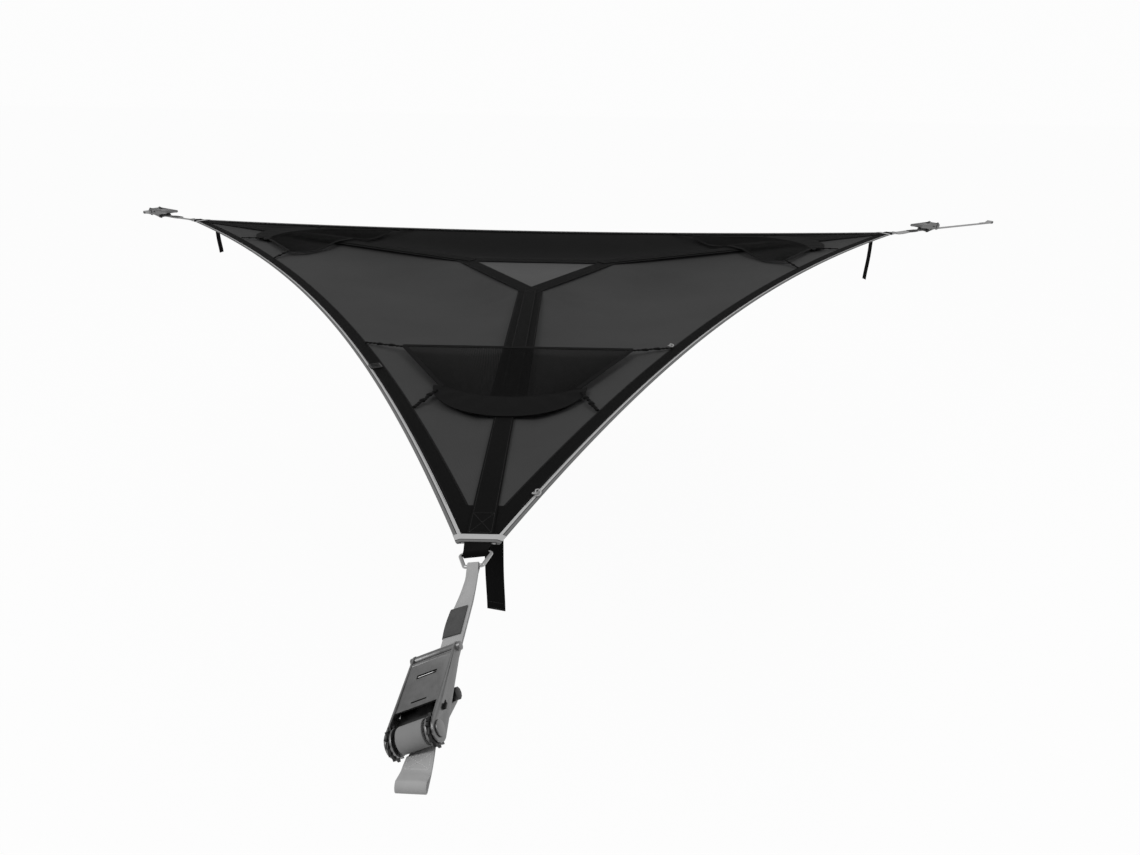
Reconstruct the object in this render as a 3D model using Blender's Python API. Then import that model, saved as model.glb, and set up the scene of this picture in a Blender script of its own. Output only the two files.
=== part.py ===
"""A triangle hammock, held flat between three anchors by a ratchet buckle at each corner.

Metres, +Z up. The origin is inside the eye of the front tree strap. The sheet lies level, its middle
(the hub) is straight behind the front corner, and each corner's pieces are built in that corner's own
frame: x runs outwards from the hub, y runs sideways and z runs up.
"""
import math
from collections import namedtuple

import bmesh
import bpy
from mathutils import Matrix, Vector

# Clearances and materials' thickness
GAP = 0.0003                # between pieces that touch
CLOTH = 0.0012              # thickness of the fabric
WEBBING = 0.002             # thickness of the webbing
UNDER_GAP = 0.0008          # from the sheet to the webbing under it

# The sheet
SIDE = 4.0                  # from corner to corner
CORNER_FLAT = 0.080         # width of the cut-off corner
EDGE_CAMBER = 0.174         # how far the middle of an edge is drawn in
BAY_SAG = 0.055             # how far the middle of a bay hangs
SAG_POWER = 1.25            # how flat the bay stays near its borders
BINDING_WIDTH = 0.015       # pale binding round the edge
HEM_WIDTH = 0.038           # black hem inside the binding
CORNER_BAND_WIDTH = 0.025   # pale band across a corner
PATCH_LENGTH = 0.139        # black patch in a corner, with the pale band on it
CORNER_BAND_FOOT = 0.010    # seam at each end of the pale band

# The hatch in the middle
HATCH_RADIUS = 0.400        # from the hub to the hatch webbing's corners
HATCH_WEBBING_WIDTH = 0.076
HATCH_SAG = 0.012

# The arms, from the hatch to the corners
ARM_STRAP_WIDTH = 0.050
ARM_BAND_WIDTH = 0.098
ARM_BAND_END = 1.700        # from the hub
ARM_STRAP_OVERLAP = 0.045   # how far the strap reaches in over the hatch webbing
ARM_STRAP_TURN_IN = 0.110   # length of the strap's end that is sewn under the corner
LOOP_WIDTH = 0.046          # the strap where it goes round the ring
LOOP_START = 0.006          # from the corner to where the two plies part

# Storage nets
NET_TOP = 1.178             # the net's open edge, from the hub
NET_TOP_HALF = 0.362        # half of that edge's length
NET_FOOT = 1.590            # the net's lower edge in the middle
NET_FOOT_RISE = 0.070       # how much higher that edge is at its ends
NET_FOOT_HALF = 0.190       # half of the lower edge's length
NET_ROWS = 5
NET_COLUMNS = 8
NET_STRAND = 0.0055         # width of a strand
NET_THICKNESS = 0.0014
NET_TOP_LIFT = 0.0035       # how much the open edge stands above the foot
NET_HEM_CENTRE = 1.500      # middle of the hem's round outline, from the hub
NET_HEM_REACH = 0.224
NET_HEM_HALF = 0.212
NET_HEM_SWEEP = 88.0        # degrees from the hem's middle to its end
NET_BAND_WIDTH = 0.012      # elastic band along the open edge
NET_TIE_WIDTH = 0.008
NET_TOP_TIE = (1.128, 0.490)    # outer end of an upper tie
NET_FOOT_TIE = (1.668, 0.236)   # outer end of a lower tie

# Strap tails under the corners
TAIL_WIDTH = 0.038
TAIL_SEAM = 0.040           # sewn length under the sheet
TAIL_BEND = 0.008

# Delta ring
RING_ROD = 0.007
RING_SEAT = 0.034           # from the corner to the ring's long bar
RING_HEIGHT = 0.040         # from the long bar to the short bar
RING_SLACK = 0.001          # of the webbing round the ring's long bar
RING_SIDE = 0.003           # from the webbing's edges to the ring's legs
RING_CORNER = 0.005
SHORT_BAR_SLACK = 0.0015    # of the short strap round the ring's short bar

# Short strap and its sleeve
STRAP_WIDTH = 0.038
STRAP_NECK = 0.020          # width where it is gathered in the ring
STRAP_SPREAD = 0.115        # length over which it reaches its full width
STRAP_CLOSE = 0.022         # length over which its two plies come together
SLEEVE_LENGTH = 0.070
SLEEVE_PLACE = 0.192        # from the ring's short bar to the sleeve's outer end
SLEEVE_COVER = 0.033        # how far it reaches across the strap
SLEEVE_WALL = 0.0015

# Ratchet buckle, from its spindle
FRAME_INNER = 0.048         # between the side plates
PLATE = 0.003               # thickness of the side plates and of the handle's arms
FRAME_ROUND = 0.0185        # radius of the plates round the spindle
FRAME_SHOULDER = (0.002, 0.0015)    # behind and below that round, where the plate turns back
BOLT_BACK = 0.083           # from the spindle back to the bolt
BOLT_EYE = 0.012            # radius of the plates round the bolt
FRAME_NECK_DROP = 0.006     # how far the plates' upper edge drops to the bolt
BOLT_RADIUS = 0.005
BOLT_HEAD_RADIUS = 0.009
BOLT_HEAD = 0.008           # thickness of its head
FLOOR_START = 0.040         # the frame's floor, from the spindle
FLOOR_LENGTH = 0.030
FLOOR_THICKNESS = 0.0025
FLOOR_RISE = 0.002          # of the floor above the plates' lower edge
TAB_BACK = 0.0540           # the floor's tab behind the pawl spring
TAB_WIDTH = 0.016
TAB_FRONT = (0.003, 0.012)  # lean and height of the tab's front edge
TAB_REAR = (0.0005, 0.013)  # and of its rear edge
SIDE_PLAY = 0.0006          # sideways, between plates, gears and arms
GEAR_TIP = 0.0225
GEAR_ROOT = 0.0178
GEAR_TEETH = 13
TOOTH_RISE = 0.14           # share of a tooth's pitch that its steep side takes
GEAR_WIDTH = 0.004
MANDREL_RADIUS = 0.009
JOURNAL_RADIUS = 0.010      # of the spindle in the side plates
SPINDLE_END_RADIUS = 0.008  # of the spindle in the gears and the arms
SPINDLE_HEAD_RADIUS = 0.011
SPINDLE_HEAD = 0.0022
SLOT_HEIGHT = 0.0032        # slot through the mandrel
ROUND_PLAY = 0.0005         # radial clearance of every turning fit
COIL_RADIUS = 0.019         # outside of the wound webbing
COIL_PITCH = 0.0026
COIL_STEPS = 14             # steps in one turn
TOOTH_CLEARANCE = 0.0007    # from the teeth's tips to the pawl and the catch

# Handle
GRIP_BACK = 0.150           # from the spindle to the grip
GRIP_HEIGHT = 0.006
GRIP_RADIUS = 0.0065
GRIP_LENGTH = 0.080
GRIP_EYE = 0.001            # width of the arms' rim round the grip
BAR_BACK = 0.134            # second bar, beside the grip
BAR_HEIGHT = 0.008
BAR_RADIUS = 0.0055
ARM_ROUND = 0.017           # radius of the arms round the spindle
WEB_START = 0.040           # pressed plate between the arms, from the spindle
WEB_END = 0.129
WEB_HEIGHT = 0.011
WEB_SLOT_BACK = 0.101
WEB_SLOT = (0.0075, 0.032)  # length and width of the slot through it
SMALL_SLOT_BACK = 0.051     # narrow slot near the plate's lower end
SMALL_SLOT = (0.0035, 0.024)

# Release catch in the handle and lock pawl in the frame
CATCH_THICKNESS = 0.003
CATCH_LOW = 0.0005
CATCH_LENGTH = 0.082
CATCH_TAB = (0.031, 0.041)  # the tabs that slide in the arms' slots, from the spindle
CATCH_TAB_REACH = 0.004     # how far they stand out of the arms
CATCH_LIP = 0.007           # depth of the finger lip
CATCH_TRAVEL = 0.006
PAWL_ANGLE = 200.0          # degrees round the spindle
PAWL_LENGTH = 0.014
PAWL_THICKNESS = 0.003
PAWL_TRAVEL = 0.004
SLIDE_PLAY = 0.0003         # round a sliding piece in its slot
SPRING_RADIUS = 0.0028
SPRING_WIRE = 0.0009
SPRING_TURNS = 4
SPRING_STEPS = 7            # steps in one turn
SPRING_SEAT = 0.004         # from the spring's end to the back of the tab's foot

# Tree straps
EYE_LENGTH = 0.030
EYE_HEIGHT = 0.014
EYE_DROP = 0.003            # how far the eye's lower ply hangs below the strap's line
EYE_SEAM = 0.060            # length sewn back on the strap
EYE_TURN = 0.002            # from the eye's root to where the plies lie flat
EYE_LIFT = 0.0008           # of the upper ply at the eye's root
EYE_ROOM = 0.012            # kept between the front strap's seam and the spindle's line

# Each corner: heading in degrees round the hub; the spindle's and the eye's distance beyond the corner;
# the straps' turn sideways at the ring; the ring's and the ratchet's roll about the strap, in degrees;
# the tail's length, its distance inside the corner, its place sideways and its turn in degrees.
Corner = namedtuple("Corner", "name heading spindle eye turn ring_roll roll tail tail_in tail_side tail_turn")
CORNERS = (
    Corner("front", -90.0, 0.485, 0.555, -2.2, 8.0, 27.0, 0.183, 0.055, 0.026, -14.0),
    Corner("left", 150.0, 0.420, 0.520, 0.0, 0.0, 0.0, 0.165, 0.145, 0.0, 20.0),
    Corner("right", 30.0, 0.420, 0.990, 0.0, 0.0, 0.0, 0.255, 0.122, 0.0, -20.0),
)
BAYS = (("left", 210.0), ("right", 330.0), ("far", 90.0))

# Sizes that follow from the ones above
CORNER_RADIUS = SIDE / math.sqrt(3.0)
BINDING_INSET = BINDING_WIDTH + GAP
HEM_INSET = BINDING_INSET + HEM_WIDTH
PATCH_START = CORNER_RADIUS - PATCH_LENGTH
SHEET_LEVEL = (-CLOTH / 2.0, CLOTH / 2.0)
TRIM_LEVEL = (SHEET_LEVEL[1] + GAP, SHEET_LEVEL[1] + GAP + CLOTH)
STRAP_LEVEL = (TRIM_LEVEL[1] + GAP, TRIM_LEVEL[1] + GAP + WEBBING)
TOP_LEVEL = (STRAP_LEVEL[1] + GAP, STRAP_LEVEL[1] + GAP + CLOTH)
NET_LEVEL = TOP_LEVEL[1] + GAP
UNDER_LEVEL = (SHEET_LEVEL[0] - UNDER_GAP - WEBBING, SHEET_LEVEL[0] - UNDER_GAP)
LINE_HEIGHT = (STRAP_LEVEL[1] + UNDER_LEVEL[0]) / 2.0
APEX = RING_SEAT + RING_HEIGHT
SPINDLE_HEIGHT = COIL_RADIUS + GAP + WEBBING / 2.0
FRAME_OUTER = FRAME_INNER / 2.0 + PLATE
GEAR_LOW = FRAME_OUTER + SIDE_PLAY
GEAR_HIGH = GEAR_LOW + GEAR_WIDTH
ARM_LOW = GEAR_HIGH + SIDE_PLAY
ARM_HIGH = ARM_LOW + PLATE
CATCH_TIP = GEAR_TIP + TOOTH_CLEARANCE

ROUND_STEPS = 12            # sides of a round piece
CURVE_STEPS = 14            # steps along an edge of the sheet
BAY_ROWS = 6                # steps along a bay, from the hatch to the edge
BAY_FIRST_COLUMN = 0.02     # share of a bay's inner side before its first inner point
LEAST_STEP = 0.01           # least share of an edge between two of its points
HATCH_RINGS = 5
HATCH_STEPS = 4             # steps along a side of the hatch


def clear_scene():
    """Remove every object, so that the model stands alone."""
    for old in list(bpy.data.objects):
        bpy.data.objects.remove(old, do_unlink=True)


def grey(level):
    """A neutral colour from an sRGB level of 0 to 255."""
    share = level / 255.0
    linear = share / 12.92 if share <= 0.04045 else ((share + 0.055) / 1.055) ** 2.4
    return (linear, linear, linear, 1.0)


def make_material(name, level, roughness, metallic=0.0):
    """A neutral material from an sRGB level."""
    material = bpy.data.materials.new(name)
    material.use_nodes = True
    shader = material.node_tree.nodes["Principled BSDF"]
    shader.inputs["Base Color"].default_value = grey(level)
    shader.inputs["Roughness"].default_value = roughness
    shader.inputs["Metallic"].default_value = metallic
    material.diffuse_color = grey(level)
    return material


def make_materials():
    """Every material of the hammock, by its name."""
    return {
        "ripstop": make_material("ripstop", 54, 0.75),
        "far_ripstop": make_material("far_ripstop", 28, 0.80),
        "hatch_cloth": make_material("hatch_cloth", 80, 0.70),
        "black_webbing": make_material("black_webbing", 20, 0.85),
        "black_hem": make_material("black_hem", 24, 0.85),
        "net_cord": make_material("net_cord", 26, 0.85),
        "grey_binding": make_material("grey_binding", 150, 0.75),
        "grey_webbing": make_material("grey_webbing", 158, 0.75),
        "sleeve": make_material("sleeve", 82, 0.60),
        "zinc_steel": make_material("zinc_steel", 165, 0.32, 1.0),
        "pressed_steel": make_material("pressed_steel", 110, 0.38, 1.0),
        "dark_steel": make_material("dark_steel", 62, 0.42, 1.0),
    }


def add_object(name, bm, material, parent=None, place=(0.0, 0.0, 0.0), smooth=0.0):
    """Turn a bmesh into a named object with its faces pointing out."""
    bmesh.ops.recalc_face_normals(bm, faces=bm.faces)
    mesh = bpy.data.meshes.new(name)
    bm.to_mesh(mesh)
    bm.free()
    if smooth:
        mesh.shade_smooth()
        mesh.set_sharp_from_angle(angle=math.radians(smooth))
    thing = bpy.data.objects.new(name, mesh)
    thing.location = place
    thing.parent = parent
    if material:
        mesh.materials.append(material)
    bpy.context.scene.collection.objects.link(thing)
    return thing


def add_empty(name, place, turn=(0.0, 0.0, 0.0), parent=None):
    """An empty that carries pieces; its turn is in degrees."""
    empty = bpy.data.objects.new(name, None)
    empty.location = place
    empty.rotation_euler = [math.radians(angle) for angle in turn]
    empty.parent = parent
    bpy.context.scene.collection.objects.link(empty)
    return empty


def combine(target, name, bm, operation):
    """Join a shape to a piece or cut it out of it; both are in the piece's own frame."""
    helper = add_object(name, bm, None, target)
    helper.hide_render = True
    helper.display_type = "WIRE"
    modifier = target.modifiers.new(name, "BOOLEAN")
    modifier.operation = operation
    modifier.solver = "EXACT"
    modifier.object = helper


def mix(low, high, share):
    """The value at a share of the way between two."""
    return low + (high - low) * share


def loft(sections, closed=False, bm=None):
    """A solid through sections of like points: capped at its ends, or closed into a loop."""
    bm = bm or bmesh.new()
    rings = [[bm.verts.new(point) for point in section] for section in sections]
    count = len(rings[0])
    spans = len(rings) if closed else len(rings) - 1
    for index in range(spans):
        first, second = rings[index], rings[(index + 1) % len(rings)]
        for side in range(count):
            after = (side + 1) % count
            bm.faces.new((first[side], first[after], second[after], second[side]))
    if not closed:
        bm.faces.new(list(reversed(rings[0])))
        bm.faces.new(rings[-1])
    return bm


def prism(outline, low, high, axis="z", bm=None):
    """A prism from an outline. Along z the outline is in x and y, along y it is in x and z."""
    place = (lambda u, v, w: (u, v, w)) if axis == "z" else (lambda u, v, w: (u, w, v))
    return loft([[place(u, v, w) for u, v in outline] for w in (low, high)], bm=bm)


def block(low, high, bm=None):
    """A box from its lowest to its highest corner."""
    outline = [(low[0], low[1]), (high[0], low[1]), (high[0], high[1]), (low[0], high[1])]
    return prism(outline, low[2], high[2], bm=bm)


def arc(centre, radius, start, end, steps):
    """Points round a centre, from one angle to another, in degrees."""
    points = []
    for index in range(steps + 1):
        angle = math.radians(mix(start, end, index / steps))
        points.append((centre[0] + radius * math.cos(angle), centre[1] + radius * math.sin(angle)))
    return points


def circle(radius, steps=ROUND_STEPS, centre=(0.0, 0.0)):
    """The corners of a round outline."""
    return arc(centre, radius, 0.0, 360.0 - 360.0 / steps, steps - 1)


def bar(radius, low, high, centre=(0.0, 0.0), steps=ROUND_STEPS, bm=None):
    """A round bar along y, round a centre in x and z."""
    return prism(circle(radius, steps, centre), low, high, "y", bm)


def turned(profile, steps=ROUND_STEPS):
    """A round piece along y, from its outline of place and radius."""
    return loft([[(u, place, v) for u, v in circle(radius, steps)] for place, radius in profile])


def tube(path, radius, sides, closed=False):
    """A tube along a path of points."""
    count = len(path)
    sections = []
    for index, point in enumerate(path):
        if closed:
            before, after = path[index - 1], path[(index + 1) % count]
        else:
            before, after = path[max(index - 1, 0)], path[min(index + 1, count - 1)]
        along = (Vector(after) - Vector(before)).normalized()
        side = along.cross(Vector((0.0, 0.0, 1.0))).normalized()
        rise = side.cross(along)
        ring = circle(radius, sides)
        sections.append([Vector(point) + side * u + rise * v for u, v in ring])
    return loft(sections, closed)


def rolled(point, degrees, height=0.0):
    """A point rolled about the line along x at a height."""
    turn = Matrix.Rotation(math.radians(degrees), 3, "X")
    axis = Vector((0.0, 0.0, height))
    return turn @ (Vector(point) - axis) + axis


def ribbon(path, thickness, half_width, roll=None, height=0.0, closed=False):
    """A flat strap along a path in x and z, with a half width and a roll for each place along x."""
    count = len(path)
    sections = []
    for index, (x, z) in enumerate(path):
        if closed:
            before, after = path[index - 1], path[(index + 1) % count]
        else:
            before, after = path[max(index - 1, 0)], path[min(index + 1, count - 1)]
        length = math.hypot(after[0] - before[0], after[1] - before[1])
        normal = (-(after[1] - before[1]) / length, (after[0] - before[0]) / length)
        half = half_width(x)
        section = []
        for side, layer in ((-half, -0.5), (half, -0.5), (half, 0.5), (-half, 0.5)):
            point = (x + normal[0] * thickness * layer, side, z + normal[1] * thickness * layer)
            section.append(rolled(point, roll(x), height) if roll else Vector(point))
        sections.append(section)
    return loft(sections, closed)


def least_gap(path, thickness, skip):
    """The least gap between turns of one path, between points at least skip steps apart."""
    least = min(
        (Vector(path[a]) - Vector(path[b])).length
        for a in range(len(path))
        for b in range(a + skip, len(path))
    )
    return least - thickness


# The sheet's outline, in a bay's frame: x runs out from the hub to the middle of the edge

def curve_point(share, inset):
    """A point on an edge's curve, inset from it; share runs from -1 to 1 between the corners."""
    end_x = CORNER_RADIUS * math.cos(math.radians(60.0)) + CORNER_FLAT / 2.0 * math.sin(math.radians(60.0))
    end_y = CORNER_RADIUS * math.sin(math.radians(60.0)) - CORNER_FLAT / 2.0 * math.cos(math.radians(60.0))
    x = end_x - EDGE_CAMBER * (1.0 - share * share)
    slope = 2.0 * EDGE_CAMBER * share
    length = math.hypot(end_y, slope)
    return (x - inset * end_y / length, share * end_y + inset * slope / length)


def edge_point(share, inset):
    """A point on the straight sides that stand for that curve, the same ones for every piece."""
    place = (share + 1.0) / 2.0 * CURVE_STEPS
    index = min(max(math.floor(place), 0), CURVE_STEPS - 1)
    first = curve_point(2.0 * index / CURVE_STEPS - 1.0, inset)
    second = curve_point(2.0 * (index + 1) / CURVE_STEPS - 1.0, inset)
    return (mix(first[0], second[0], place - index), mix(first[1], second[1], place - index))


def edge_shares(end):
    """The shares of the edge's own corners between two ends."""
    shares = [2.0 * index / CURVE_STEPS - 1.0 for index in range(CURVE_STEPS + 1)]
    return [share for share in shares if abs(share) < end - LEAST_STEP]


def corner_view(point):
    """A bay's point in the frame of the corner at its positive end."""
    turn = math.radians(60.0)
    x = point[0] * math.cos(turn) + point[1] * math.sin(turn)
    y = -point[0] * math.sin(turn) + point[1] * math.cos(turn)
    return (x, y)


def from_corner(x, y):
    """A point of that corner's frame, back in the bay's frame."""
    turn = math.radians(60.0)
    return (x * math.cos(turn) - y * math.sin(turn), x * math.sin(turn) + y * math.cos(turn))


def edge_share(radius, inset):
    """The share at which an inset edge passes a distance from the hub along the corner's arm."""
    low, high = 0.0, 1.2
    for _ in range(40):
        middle = (low + high) / 2.0
        if corner_view(edge_point(middle, inset))[0] < radius:
            low = middle
        else:
            high = middle
    return low


def half_width_at(radius, inset):
    """Half the sheet's width across a corner's arm, at a distance from the hub, less an inset."""
    return -corner_view(edge_point(edge_share(radius, inset), inset))[1]


def flat_section(outside, inside, level):
    """A flat strip's section, from its outer and its inner edge and its lower and upper level."""
    return [(*outside, level[0]), (*inside, level[0]), (*inside, level[1]), (*outside, level[1])]


def edge_sections(inner, outer, end, level, heading):
    """A strip along an edge between two insets, cut square to the arms at a distance from the hub."""
    inner_end, outer_end = edge_share(end, inner), edge_share(end, outer)
    middle = [(share, share) for share in edge_shares(min(inner_end, outer_end))]
    sections = []
    for outer_share, inner_share in [(-outer_end, -inner_end)] + middle + [(outer_end, inner_end)]:
        outside = from_edge(edge_point(outer_share, outer), heading)
        inside = from_edge(edge_point(inner_share, inner), heading)
        sections.append(flat_section(outside, inside, level))
    return sections


def sag_share(across, along):
    """How far a bay hangs at a place, as a share of its most; both run from 0 to 1."""
    return (math.sin(math.pi * across) * math.sin(math.pi * along)) ** SAG_POWER


def make_bay(name, heading, hub, material):
    """One of the three bays: cloth between an edge of the sheet, two arms and a side of the hatch."""
    bay_frame = add_empty("bay_" + name + "_frame", (0.0, 0.0, 0.0), (0.0, 0.0, heading), hub)
    end = CORNER_RADIUS - GAP
    end_share = edge_share(end, BINDING_INSET)
    stations = [-end_share] + edge_shares(end_share) + [end_share]
    tip = from_corner(end, -GAP / 2.0)
    outer = [(tip[0], -tip[1])] + [edge_point(share, BINDING_INSET) for share in stations] + [tip]
    last = len(stations) - 1
    shares = [mix(BAY_FIRST_COLUMN, 1.0 - BAY_FIRST_COLUMN, k / last) for k in range(last + 1)]
    shares = [0.0] + shares + [1.0]
    inner_x = HATCH_RADIUS / 2.0 + GAP
    inner_half = inner_x * math.tan(math.radians(60.0)) - GAP
    inner = [(inner_x, mix(-inner_half, inner_half, share)) for share in shares]
    bm = bmesh.new()
    layers = []
    for level in SHEET_LEVEL:
        grid = []
        for row in range(BAY_ROWS + 1):
            along = row / BAY_ROWS
            line = []
            for column, share in enumerate(shares):
                x = mix(inner[column][0], outer[column][0], along)
                y = mix(inner[column][1], outer[column][1], along)
                line.append(bm.verts.new((x, y, level - BAY_SAG * sag_share(share, along))))
            grid.append(line)
        layers.append(grid)
    close_layers(bm, layers)
    add_object("bay_" + name, bm, material, bay_frame, smooth=30.0)


def close_layers(bm, layers):
    """Faces over a lower and an upper grid of points, and round their border."""
    rows, columns = len(layers[0]) - 1, len(layers[0][0]) - 1
    for grid in layers:
        for row in range(rows):
            for column in range(columns):
                bm.faces.new((grid[row][column], grid[row][column + 1], grid[row + 1][column + 1],
                              grid[row + 1][column]))
    border = [(0, column) for column in range(columns)] + [(row, columns) for row in range(rows)]
    border += [(rows, column) for column in range(columns, 0, -1)] + [(row, 0) for row in range(rows, 0, -1)]
    for index, here in enumerate(border):
        there = border[(index + 1) % len(border)]
        low, high = layers
        bm.faces.new((low[here[0]][here[1]], low[there[0]][there[1]], high[there[0]][there[1]],
                      high[here[0]][here[1]]))


def from_edge(point, heading):
    """A bay's point, turned to the bay's heading round the hub."""
    turn = math.radians(heading)
    return (point[0] * math.cos(turn) - point[1] * math.sin(turn),
            point[0] * math.sin(turn) + point[1] * math.cos(turn))


def make_binding(hub, materials):
    """The pale binding: a strip along each edge, and a band over each corner that joins two of them."""
    strips = [bmesh.new(), bmesh.new()]
    end = CORNER_RADIUS + GAP
    for index, (name, heading) in enumerate(BAYS):
        sections = edge_sections(BINDING_WIDTH, 0.0, end, (SHEET_LEVEL[0], TRIM_LEVEL[1]), heading)
        loft(sections, bm=strips[min(index, 1)])
    binding = add_object("edge_binding", strips[0], materials["grey_binding"], hub, smooth=30.0)
    bands = bmesh.new()
    for corner in CORNERS:
        sections = []
        for radius in (CORNER_RADIUS - CORNER_BAND_WIDTH, CORNER_RADIUS):
            half = half_width_at(radius, 0.0)
            foot = half - CORNER_BAND_FOOT
            low, top, under = TRIM_LEVEL[0], TOP_LEVEL[1], TOP_LEVEL[0]
            outline = [(-half, low), (-foot, low), (-foot, under), (foot, under), (foot, low), (half, low),
                       (half, top), (-half, top)]
            sections.append([(*from_edge((radius, y), corner.heading), z) for y, z in outline])
        loft(sections, bm=bands)
    combine(binding, "binding_bands", bands, "UNION")
    combine(binding, "binding_strips", strips[1], "UNION")


def make_hem(hub, materials):
    """The black hem inside the binding, one ring with a patch in each corner."""
    sections = []
    end = CORNER_RADIUS - GAP
    half = half_width_at(end, BINDING_INSET)
    middle = ARM_STRAP_WIDTH / 4.0
    for corner, heading in ((30.0, 90.0), (150.0, 210.0), (270.0, 330.0)):
        for side in (-1.0, 1.0):
            outside = from_edge((end, side * half), corner)
            inside = from_edge((PATCH_START, side * middle), corner)
            sections.append(flat_section(outside, inside, TRIM_LEVEL))
        sections += edge_sections(HEM_INSET, BINDING_INSET, PATCH_START, TRIM_LEVEL, heading)
    add_object("edge_hem", loft(sections, closed=True), materials["black_hem"], hub, smooth=30.0)


def make_hatch(hub, materials):
    """The hatch panel in the middle, and the webbing sewn round it."""
    bm = bmesh.new()
    border = HATCH_RADIUS - 2.0 * GAP
    corners = [Vector((math.cos(math.radians(a)), math.sin(math.radians(a)), 0.0)) for a in (-90, 30, 150)]
    outline = []
    for index in range(3):
        for step in range(HATCH_STEPS):
            outline.append(corners[index].lerp(corners[(index + 1) % 3], step / HATCH_STEPS) * border)
    layers = []
    for level in SHEET_LEVEL:
        middle = bm.verts.new((0.0, 0.0, level - HATCH_SAG))
        loops = []
        for ring in range(1, HATCH_RINGS + 1):
            share = ring / HATCH_RINGS
            drop = HATCH_SAG * math.cos(math.pi / 2.0 * share)
            loops.append([bm.verts.new((point.x * share, point.y * share, level - drop)) for point in outline])
        layers.append((middle, loops))
    for middle, loops in layers:
        count = len(outline)
        for k in range(count):
            bm.faces.new((middle, loops[0][k], loops[0][(k + 1) % count]))
            for first, second in zip(loops, loops[1:]):
                bm.faces.new((first[k], first[(k + 1) % count], second[(k + 1) % count], second[k]))
    low, high = layers[0][1][-1], layers[1][1][-1]
    for k in range(len(outline)):
        after = (k + 1) % len(outline)
        bm.faces.new((low[k], low[after], high[after], high[k]))
    add_object("hatch_panel", bm, materials["hatch_cloth"], hub, smooth=30.0)


def make_hub_webbing(hub, materials):
    """The black webbing round the hatch and the wide bands that run out from it along the arms."""
    inner = HATCH_RADIUS / 2.0 - HATCH_WEBBING_WIDTH / 2.0
    outer = HATCH_RADIUS / 2.0 + HATCH_WEBBING_WIDTH / 2.0
    half = ARM_BAND_WIDTH / 2.0
    root = 2.0 * outer - half / math.tan(math.radians(30.0))
    outline, opening = [], []
    for corner in CORNERS[::-1]:
        points = [(root, -half), (ARM_BAND_END, -half), (ARM_BAND_END, half), (root, half)]
        outline += [from_edge(point, corner.heading) for point in points]
        opening.append(from_edge((2.0 * inner, 0.0), corner.heading))
    webbing = add_object("hub_webbing", prism(outline, *TRIM_LEVEL), materials["black_webbing"], hub)
    cut = prism(opening, TRIM_LEVEL[0] - CLOTH, TRIM_LEVEL[1] + CLOTH)
    combine(webbing, "hub_webbing_opening", cut, "DIFFERENCE")
    return root


def make_arm_strap(corner, frame, root, materials):
    """The webbing along an arm: it ends in a loop round the delta ring, turned in under the sheet."""
    upper, lower = sum(STRAP_LEVEL) / 2.0, sum(UNDER_LEVEL) / 2.0
    bar_x = CORNER_RADIUS + RING_SEAT
    radius = RING_ROD / 2.0 + RING_SLACK + WEBBING / 2.0
    leave = CORNER_RADIUS + LOOP_START
    path = [(root - ARM_STRAP_OVERLAP, upper), (PATCH_START, upper), (leave, upper)]
    path += arc((bar_x, LINE_HEIGHT), radius, 100.0, -100.0, 8)
    path += [(leave, lower), (CORNER_RADIUS - ARM_STRAP_TURN_IN, lower)]

    def half_width(x):
        share = min(max((x - leave) / (bar_x - radius - leave), 0.0), 1.0)
        return mix(ARM_STRAP_WIDTH, LOOP_WIDTH, share) / 2.0

    def roll(x):
        share = min(max((x - leave) / (bar_x - radius - leave), 0.0), 1.0)
        return corner.ring_roll * share

    bm = ribbon(path, WEBBING, half_width, roll, LINE_HEIGHT)
    add_object("arm_strap_" + corner.name, bm, materials["black_webbing"], frame, smooth=30.0)


def rounded_loop(points, radius, steps):
    """A closed outline with its corners rounded."""
    loop = []
    for index, point in enumerate(points):
        here = Vector(point)
        back = (Vector(points[index - 1]) - here).normalized()
        ahead = (Vector(points[(index + 1) % len(points)]) - here).normalized()
        half = back.angle(ahead) / 2.0
        start, end = here + back * radius / math.tan(half), here + ahead * radius / math.tan(half)
        centre = here + (back + ahead).normalized() * radius / math.sin(half)
        for step in range(steps + 1):
            spoke = (start - centre).lerp(end - centre, step / steps).normalized()
            loop.append(centre + spoke * radius)
    return loop


def make_delta_ring(corner, frame, materials):
    """A closed ring of round bar: a long bar for the arm's strap and a short bar for the short strap."""
    long_half = LOOP_WIDTH / 2.0 + RING_SIDE + RING_ROD / 2.0
    short_half = STRAP_NECK / 2.0 + RING_SIDE + RING_ROD / 2.0
    start, end = CORNER_RADIUS + RING_SEAT, CORNER_RADIUS + APEX
    outline = [(start, -long_half), (end, -short_half), (end, short_half), (start, long_half)]
    path = [rolled((point.x, point.y, LINE_HEIGHT), corner.ring_roll, LINE_HEIGHT)
            for point in rounded_loop(outline, RING_CORNER, 3)]
    bm = tube(path, RING_ROD / 2.0, 8, closed=True)
    add_object("delta_ring_" + corner.name, bm, materials["zinc_steel"], frame, smooth=50.0)


def strap_roll(corner, x):
    """The roll of the short strap in the line's frame: it turns where it is gathered, and then lies flat."""
    return mix(corner.ring_roll, corner.roll, min(max(x / STRAP_SPREAD, 0.0), 1.0))


def strap_half(x):
    """Half the short strap's width: it is gathered in the ring and spreads from there."""
    return mix(STRAP_NECK, STRAP_WIDTH, min(max(x / STRAP_SPREAD, 0.0), 1.0)) / 2.0


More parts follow.
